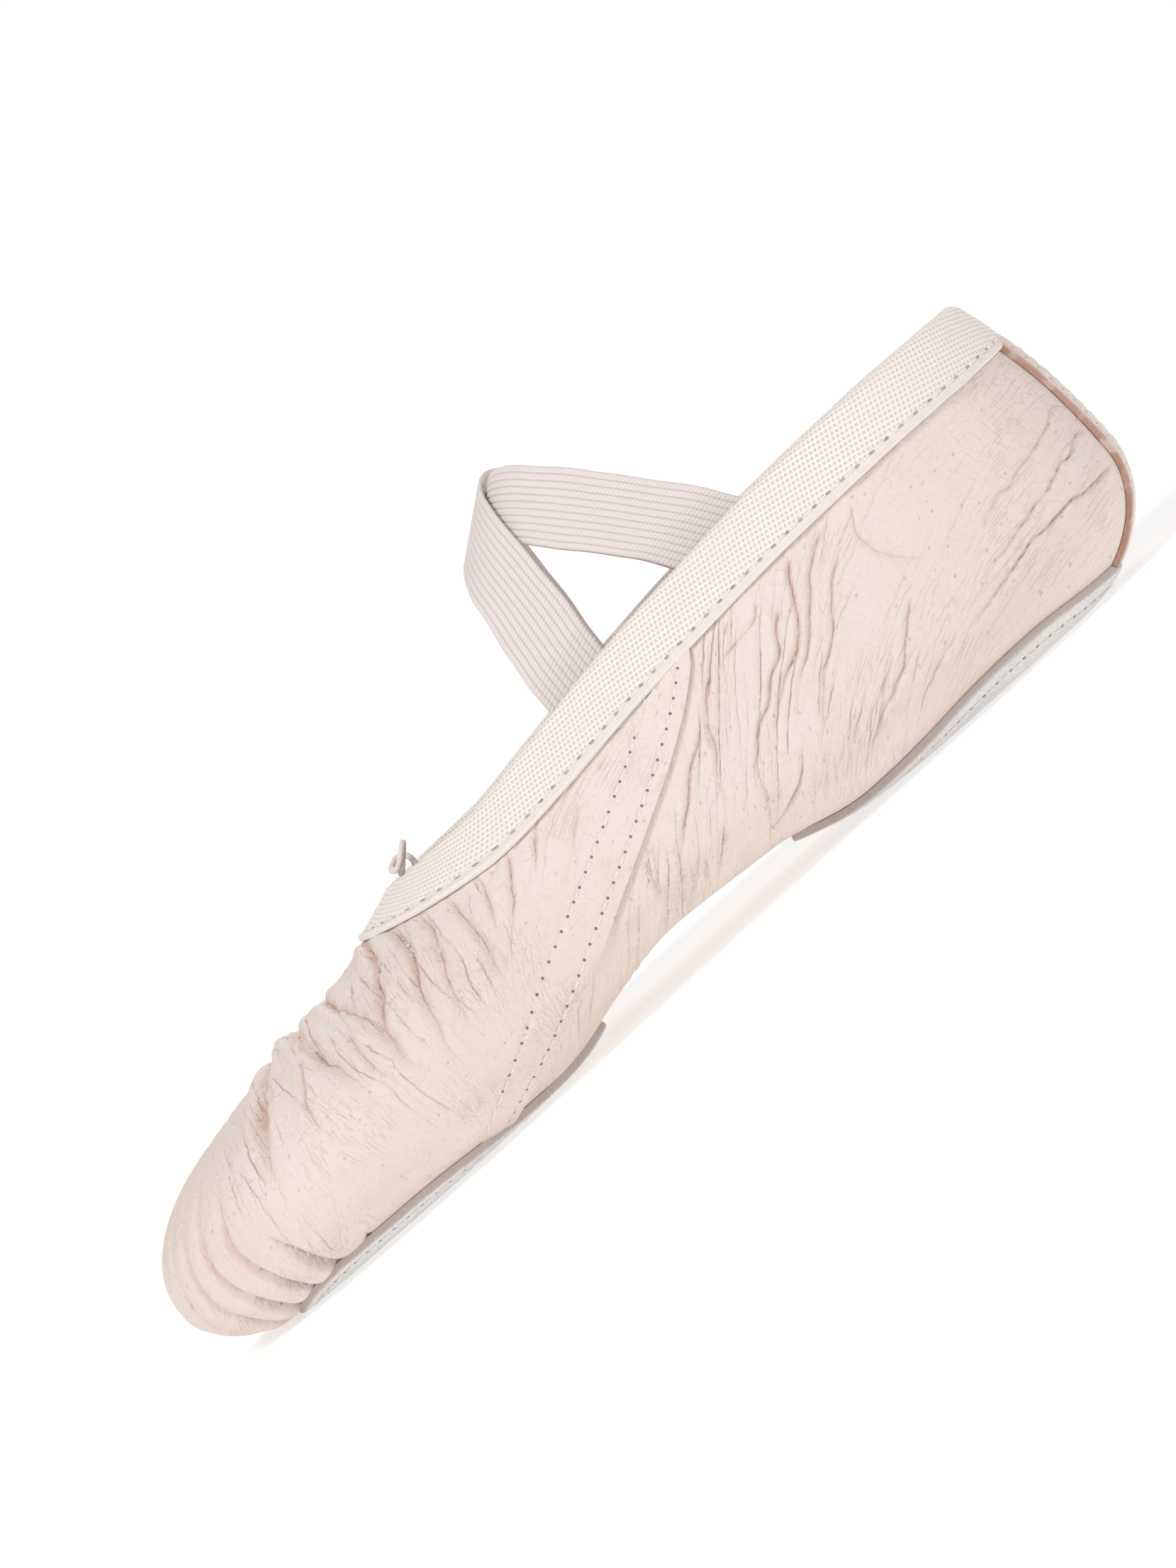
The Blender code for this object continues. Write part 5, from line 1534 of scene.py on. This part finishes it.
ELASTIC_COLOURS = (0.755, 0.67, 0.645, 1), (0.84, 0.775, 0.755, 1)
# The hole colour is painted shade in the needle holes.
BETWEEN_RIBS, ELASTIC_HOLE_SHADE = (0.64, 0.50, 0.45, 1), (0.36, 0.26, 0.22, 1)


def ridge_profile():
    """The ridge's half profile as arc length, sideways reach and depth: a superellipse, then straight."""
    angle = np.linspace(0, np.pi / 2, 200)
    power = 2 / RIDGE_ROUNDNESS
    x = np.append(RIDGE_HALF_WIDTH * np.sin(angle) ** power, RIDGE_HALF_WIDTH)
    depth = np.append(RIDGE_DEPTH * (1 - np.cos(angle) ** power), RIDGE_DEPTH + 100)
    return distance_along(np.stack([x, depth], -1)), x, depth


def on_ridge(across, along):
    """Points of the ridge from distances measured on its surface."""
    arc, x, depth = ridge_profile()
    lean = np.radians(RIDGE_LEAN)
    sideways = np.sign(across) * np.interp(np.abs(across), arc, x)
    sunk = np.interp(np.abs(across), arc, depth)
    s = CROSSING_FROM_TOE + along * np.cos(lean) + sunk * np.sin(lean)
    z = CROSSING_HEIGHT + along * np.sin(lean) - sunk * np.cos(lean)
    return np.stack([section(CROSSING_FROM_TOE)[0] + sideways, s, z], -1)


def ridge_normal(across, along, step=0.05):
    """Direction out of the ridge, from how its points move with across and with along."""
    round_ankle = on_ridge(across + step, along) - on_ridge(across - step, along)
    up_ridge = on_ridge(across, along + step) - on_ridge(across, along - step)
    return unit(np.cross(round_ankle, up_ridge))


def side_of_last(side, from_toe, height):
    """x of the last's skin above its widest line, at a place and height."""
    centre, width, widest, above, _, top_round, _ = section(from_toe)
    share = np.clip((height - widest) / np.maximum(above, 1e-6), 0, 1)
    return centre + side * width * (1 - share ** top_round) ** (1 / top_round)


def against_collar(points, depth):
    """The same places seen from the side, but on the inside of the collar's wall at a depth from its skin."""
    side = np.sign(points[..., 0] - section(CROSSING_FROM_TOE)[0])
    s, z = points[..., 1], points[..., 2]
    places = np.stack([side_of_last(side, s, z), s, z], -1)
    return moved_out(places, skin_normal(places), -depth)


def tack_places():
    """How far along the strap each row of stitching is."""
    return [*TACK_ROWS, *(distance_along(np.array(STRAP_ROUTE))[-1] - TACK_ROWS)]


def elastic_finish():
    """Ribbed elastic: rubber cords lie lengthwise between rows of pale pink thread, bound by a fine slanting
    twill across each rib."""
    finish, tree, shader = new_finish("ribbed_elastic", 0.7, Sheen_Weight=0.2, Specular_IOR_Level=0.25)
    lying = place_on(tree, "UV")
    twill = ribs(tree, turned(tree, lying, 28), 0.55, "X", Distortion=0.6, Detail=1.0)
    parts = add_node(tree, "ShaderNodeSeparateXYZ", {0: lying}).outputs
    run, off = (times(tree, parts[axis], 1 / MM) for axis in (0, 1))
    across = maths(tree, "ADD", off, ELASTIC_HALF_WIDTH)
    in_rib = maths(tree, "FRACT", maths(tree, "DIVIDE", across, 2 * ELASTIC_HALF_WIDTH / ELASTIC_RIBS))
    in_rib = maths(tree, "ABSOLUTE", maths(tree, "SUBTRACT", in_rib, 0.5))
    colour = mixed(tree, twill, *ELASTIC_COLOURS)
    colour = tinted(tree, colour, ramped(tree, in_rib, 0.32, 0.5), 0.5, BETWEEN_RIBS)
    hole = needle_holes(tree, off, run, tack_places(), TACK_PITCH, 0.12, 0.4)
    # Painted shade in the needle holes of the tacks.
    colour = tinted(tree, colour, hole, 0.75, ELASTIC_HOLE_SHADE)
    height = times(tree, noise(tree, place_on(tree, "Object"), 1600.0, 2.0), 0.018)
    dress(tree, shader, colour, raised(tree, height, twill, 0.05))
    return finish


def band_on_ridge(starts_on, path, width):
    """Distances round the ridge and up it for a band's points, from its route and its slightly wavy width."""
    route = np.array(STRAP_ROUTE, float) * [starts_on, 1]
    table = np.column_stack([distance_along(route), route])
    columns = ("length", "across", "along")
    middle = np.stack([smooth_table(columns, table, key, path) for key in columns[1:]], -1)
    forward = unit(np.gradient(middle, axis=0))
    sideways = np.stack([-forward[:, 1], forward[:, 0]], -1) * starts_on
    wave = 1 + 0.010 * np.sin(path / 3.1) + 0.008 * np.sin(path / 1.7)
    band = middle[:, None] + (width[None] * wave[:, None])[..., None] * sideways[:, None]
    return band[..., 0], band[..., 1]


def band_thickness(path, width):
    """Half the band's thickness. A rib is half an ellipse across, the edges are round, and it is pinched at
    each row of stitching."""
    in_rib = np.abs((width / (2 * ELASTIC_HALF_WIDTH) * ELASTIC_RIBS + ELASTIC_RIBS / 2) % 1 - 0.5) * 2
    rib = np.sqrt(np.clip(1 - in_rib ** 2, 0, 1))
    rim = np.sqrt(np.clip((ELASTIC_HALF_WIDTH - np.abs(width)) / 0.5, 0, 1))
    pinch = 1 - 0.35 * furrows(path, tack_places(), 0.7)
    return pinch[:, None] * (FURROW_THICKNESS + RIB_RISE * rib) * (0.3 + 0.7 * rim)


def make_strap(name, node_name, starts_on, lift, finish, stations=260, columns=110):
    """One band: its route is laid out flat and wrapped on the ridge, and its ends are brought against the
    collar's inside. Gives its rows of stitching."""
    length = distance_along(np.array(STRAP_ROUTE))[-1]
    path = np.linspace(0, length, stations + 1)
    width = np.linspace(-ELASTIC_HALF_WIDTH, ELASTIC_HALF_WIDTH, columns + 1)
    across, along = band_on_ridge(starts_on, path, width)
    ridge, out = on_ridge(across, along), ridge_normal(across, along)
    above_collar = ridge[..., 2] - collar_height(ridge[..., 1])
    free = eased((above_collar + HELD_BELOW) / (HELD_BELOW + FREE_ABOVE))[..., None]
    lifted = lift * eased((LIFT_ENDS - np.abs(across)) / (LIFT_ENDS - LIFT_FULL))
    seat = WALL + LINING_GAP + TAPE + STRAP_SEAT_GAP
    half_thickness = band_thickness(path, width)
    grids = []
    for rise in (ELASTIC * (0.5 - half_thickness), ELASTIC * (0.5 + half_thickness)):
        loose = moved_out(ridge, out, lifted + rise)
        held = against_collar(ridge, seat + ELASTIC - rise)
        grids.append(free * loose + (1 - free) * held)
    inner, outer = grids
    piece = closed_plate(name, inner, outer, finish, pairs(path, width))
    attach(piece, "root")
    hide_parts(node_name)
    stitched = [int(round(place / length * stations)) for place in tack_places()]
    return [(width, inner[station], unit(inner[station] - outer[station])) for station in stitched]


elastic = elastic_finish()
tack_rows = (make_strap("elastic_under", "strap_under", 1, 0.0, elastic)
             + make_strap("elastic_over", "strap_over", -1, ELASTIC + STRAP_GAP, elastic))


# ---------------- stitching
# Pale cotton thread, in straight lockstitch rows. Each stitch lies on the surface, in a shallow dip, and
# dives into a needle hole at both ends.

THREAD_COLOURS = (0.82, 0.73, 0.66, 1), (0.94, 0.89, 0.84, 1)
LEATHER_STITCH, TAPE_STITCH, SOLE_STITCH, ELASTIC_STITCH = 2.1, 2.7, 2.6, 1.4  # lengths


def stitches(name, rows, pitch, length, thickness, lowest=None):
    """Every stitch of some rows as one piece. A row is the distance along it, its points and their normals,
    and its stitches are centred at each whole pitch. A stitch is a round thread that thins and dips at both
    ends: seven rings of six points."""
    t = np.linspace(-1, 1, 7)
    around = np.linspace(0, 2 * np.pi, 7)[:-1]
    all_points, all_faces, start = [], [], 0
    for along, line, normals in rows:
        first, last = np.ceil((along[0] + length / 2) / pitch), np.floor((along[-1] - length / 2) / pitch)
        at = pitch * np.arange(first, last + 1)[:, None] + t[None] * length / 2
        spine, out = read_along(line, along, at), unit(read_along(normals, along, at))
        beside = np.cross(unit(np.gradient(spine, axis=1)), out)
        radius = thickness / 2 * np.sqrt(1.02 - t ** 4)
        spine = moved_out(spine, out, thickness * (0.22 - 0.6 * t[None] ** 4))
        ring = np.cos(around)[:, None] * beside[:, :, None] + 0.8 * np.sin(around)[:, None] * out[:, :, None]
        points = spine[:, :, None] + radius[None, :, None, None] * ring
        index = start + np.arange(points[..., 0].size).reshape(points.shape[:3])
        quads = np.concatenate([tube_faces(stitch) for stitch in index])
        all_faces += quads.tolist() + index[:, 0].tolist() + index[:, -1].tolist()
        all_points.append(points.reshape(-1, 3))
        start += points[..., 0].size
    points = np.concatenate(all_points)
    if lowest is not None:
        points[:, 2] = np.maximum(points[:, 2], lowest)
    piece = add_piece(name, points, all_faces, pale_thread)
    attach(piece, "root")


def thread_finish():
    """Cotton thread, with a fine uneven twist."""
    finish, tree, shader = new_finish("pale_thread", 0.7, Sheen_Weight=0.2)
    twist = noise(tree, place_on(tree, "Object"), 2600.0, 2.0)
    colour = mixed(tree, ramped(tree, twist, 0.3, 0.7), *THREAD_COLOURS)
    dress(tree, shader, colour, times(tree, twist, 0.10))
    return finish


def side_seam_rows():
    """Both rows of each side seam, at their distances ahead of the vamp's raw edge, on its raised surface."""
    rows = []
    for side in (OUTER, INNER):
        edge = seam_line(side)
        normals = skin_normal(edge)
        forward = unit(np.cross(normals, np.gradient(edge, axis=0))) * side
        run = distance_along(edge)
        below_collar = from_collar(edge)
        shown = ((beyond_patch(FOREFOOT_PATCH, edge) > 1) & (edge[:, 2] > 2.6)
                 & (below_collar > TAPE_OUTSIDE - 2))
        for ahead in SEAM_ROWS:
            line = settled(edge + ahead * forward)
            lift = lap_height(ahead, below_collar)
            rows.append((run[shown], moved_out(line, normals, lift)[shown], normals[shown]))
    return rows


def heel_strip_rows(count=120):
    """Rows up the strip over the back seam, from its foot to the binding."""
    z = np.linspace(STRIP_FOOT + 0.5, STRIP_TOP - 1.5, count)
    rows = []
    for off in STRIP_SEAMS:
        points, out = back_frame(section(LENGTH)[0] + np.full(count, off), z)
        thick = strip_thickness(np.full(count, off), points)
        rows.append((z, moved_out(points, out, GAP + thick), out))
    return rows


def sole_rows(patch, seams, count=400):
    """Rows round a patch, each moved in from its outline along the plan."""
    outline = patch_outline(patch, count)
    run = distance_along(outline)
    onward = unit(np.gradient(outline[:, :2], axis=0))
    inwards = np.stack([-onward[:, 1], onward[:, 0]], -1)  # the outline runs clockwise, seen from above
    rows = []
    for seam in seams:
        x, s = (outline[:, :2] + seam * inwards).T
        rows.append((run, suede_bottom(x, s, np.full(count, seam), seams), underside_normal(x, s)))
    return rows


def arch_rows():
    """A row on each side of the seam under the arch, between the two patches."""
    s = np.linspace(FOREFOOT_PATCH["rear"] - 2, HEEL_PATCH["front"] + 2, 160)
    rows = []
    for row in ARCH_ROWS:
        for side in (OUTER, INNER):
            x = section(s)[0] + side * row
            out = underside_normal(x, s)
            rows.append((s, on_underside(x, s) - ARCH_DIP * out, out))
    return rows


pale_thread = thread_finish()
stitches("side_seam_thread", side_seam_rows(), STITCH_PITCH, LEATHER_STITCH, 0.5)
stitches("heel_strip_thread", heel_strip_rows(), STITCH_PITCH, LEATHER_STITCH, 0.42)
stitches("arch_seam_thread", arch_rows(), STITCH_PITCH, LEATHER_STITCH, 0.5)
stitches("binding_thread", [binding_row], TAPE_PITCH, TAPE_STITCH, 0.55)
stitches("forefoot_thread", sole_rows(FOREFOOT_PATCH, FOREFOOT_SEAMS), SOLE_PITCH, SOLE_STITCH, 0.65,
         lowest=0.02)
stitches("heel_thread", sole_rows(HEEL_PATCH, HEEL_SEAMS), SOLE_PITCH, SOLE_STITCH, 0.65,
         lowest=0.02)
stitches("elastic_thread", tack_rows, TACK_PITCH, ELASTIC_STITCH, 0.45)


# ---------------- floor and light
# A plain white floor in a white room. A large soft lamp above the camera shapes the leather, and two weak
# ones, behind and on the inner side, keep the shadows light.

FLOOR_GLOW = (0.51, 0.80)  # light that the floor gives of itself: near the slipper, and far from the lamps
ROOM_LIGHT, ROOM_SEEN = 0.54, 1.02  # how bright the room lights things, and how bright it shows


def make_floor(half_side=8.0):
    """A white floor that glows a little, more so far from the lamps."""
    data = bpy.data.meshes.new("floor")
    corners = [(x * half_side, y * half_side, 0.0) for x, y in ((-1, -1), (1, -1), (1, 1), (-1, 1))]
    data.from_pydata(corners, [], [(0, 1, 2, 3)])
    finish, tree, shader = new_finish("floor_white", 0.9, Specular_IOR_Level=0.0)
    away = vector_maths(tree, "LENGTH", place_on(tree, "Object"))["Value"]
    near_glow, far_glow = FLOOR_GLOW
    glow = maths(tree, "MULTIPLY_ADD", ramped(tree, away, 0.2, 0.9), far_glow - near_glow, near_glow)
    tree.links.new(glow, shader.inputs["Emission Strength"])
    shader.inputs["Base Color"].default_value = (0.6, 0.6, 0.6, 1)
    shader.inputs["Emission Color"].default_value = (1, 1, 1, 1)
    data.materials.append(finish)
    floor = bpy.data.objects.new("floor", data)
    bpy.context.scene.collection.objects.link(floor)
    return floor


def add_lamp(name, place, aim, size, watts):
    """A round soft lamp at a place, turned to a point."""
    data = bpy.data.lights.new(name, "AREA")
    data.shape, data.size, data.energy = "DISK", size, watts
    lamp = bpy.data.objects.new(name, data)
    lamp.location = place
    lamp.rotation_euler = (Vector(aim) - Vector(place)).to_track_quat("-Z", "Y").to_euler()
    bpy.context.scene.collection.objects.link(lamp)


def make_room():
    """A white room that lights the slipper less than it shows, so that the lamps still shape it."""
    room = bpy.data.worlds.new("room")
    room.use_nodes = True
    tree = room.node_tree
    seen = add_node(tree, "ShaderNodeLightPath", {}).outputs["Is Camera Ray"]
    strength = maths(tree, "MULTIPLY_ADD", seen, ROOM_SEEN - ROOM_LIGHT, ROOM_LIGHT)
    tree.nodes["Background"].inputs["Color"].default_value = (1, 1, 1, 1)
    tree.links.new(strength, tree.nodes["Background"].inputs["Strength"])
    return room


make_floor()
add_lamp("key", (1.3, -0.7, 1.5), (0, 0, 0.03), 0.7, 16)
add_lamp("fill", (1.2, 1.6, 0.6), (0, 0, 0.05), 1.2, 3)
add_lamp("far_fill", (-1.4, 0.4, 0.8), (0, 0, 0.05), 1.2, 6)
bpy.context.scene.world = make_room()
bpy.context.scene.view_settings.view_transform = "Standard"
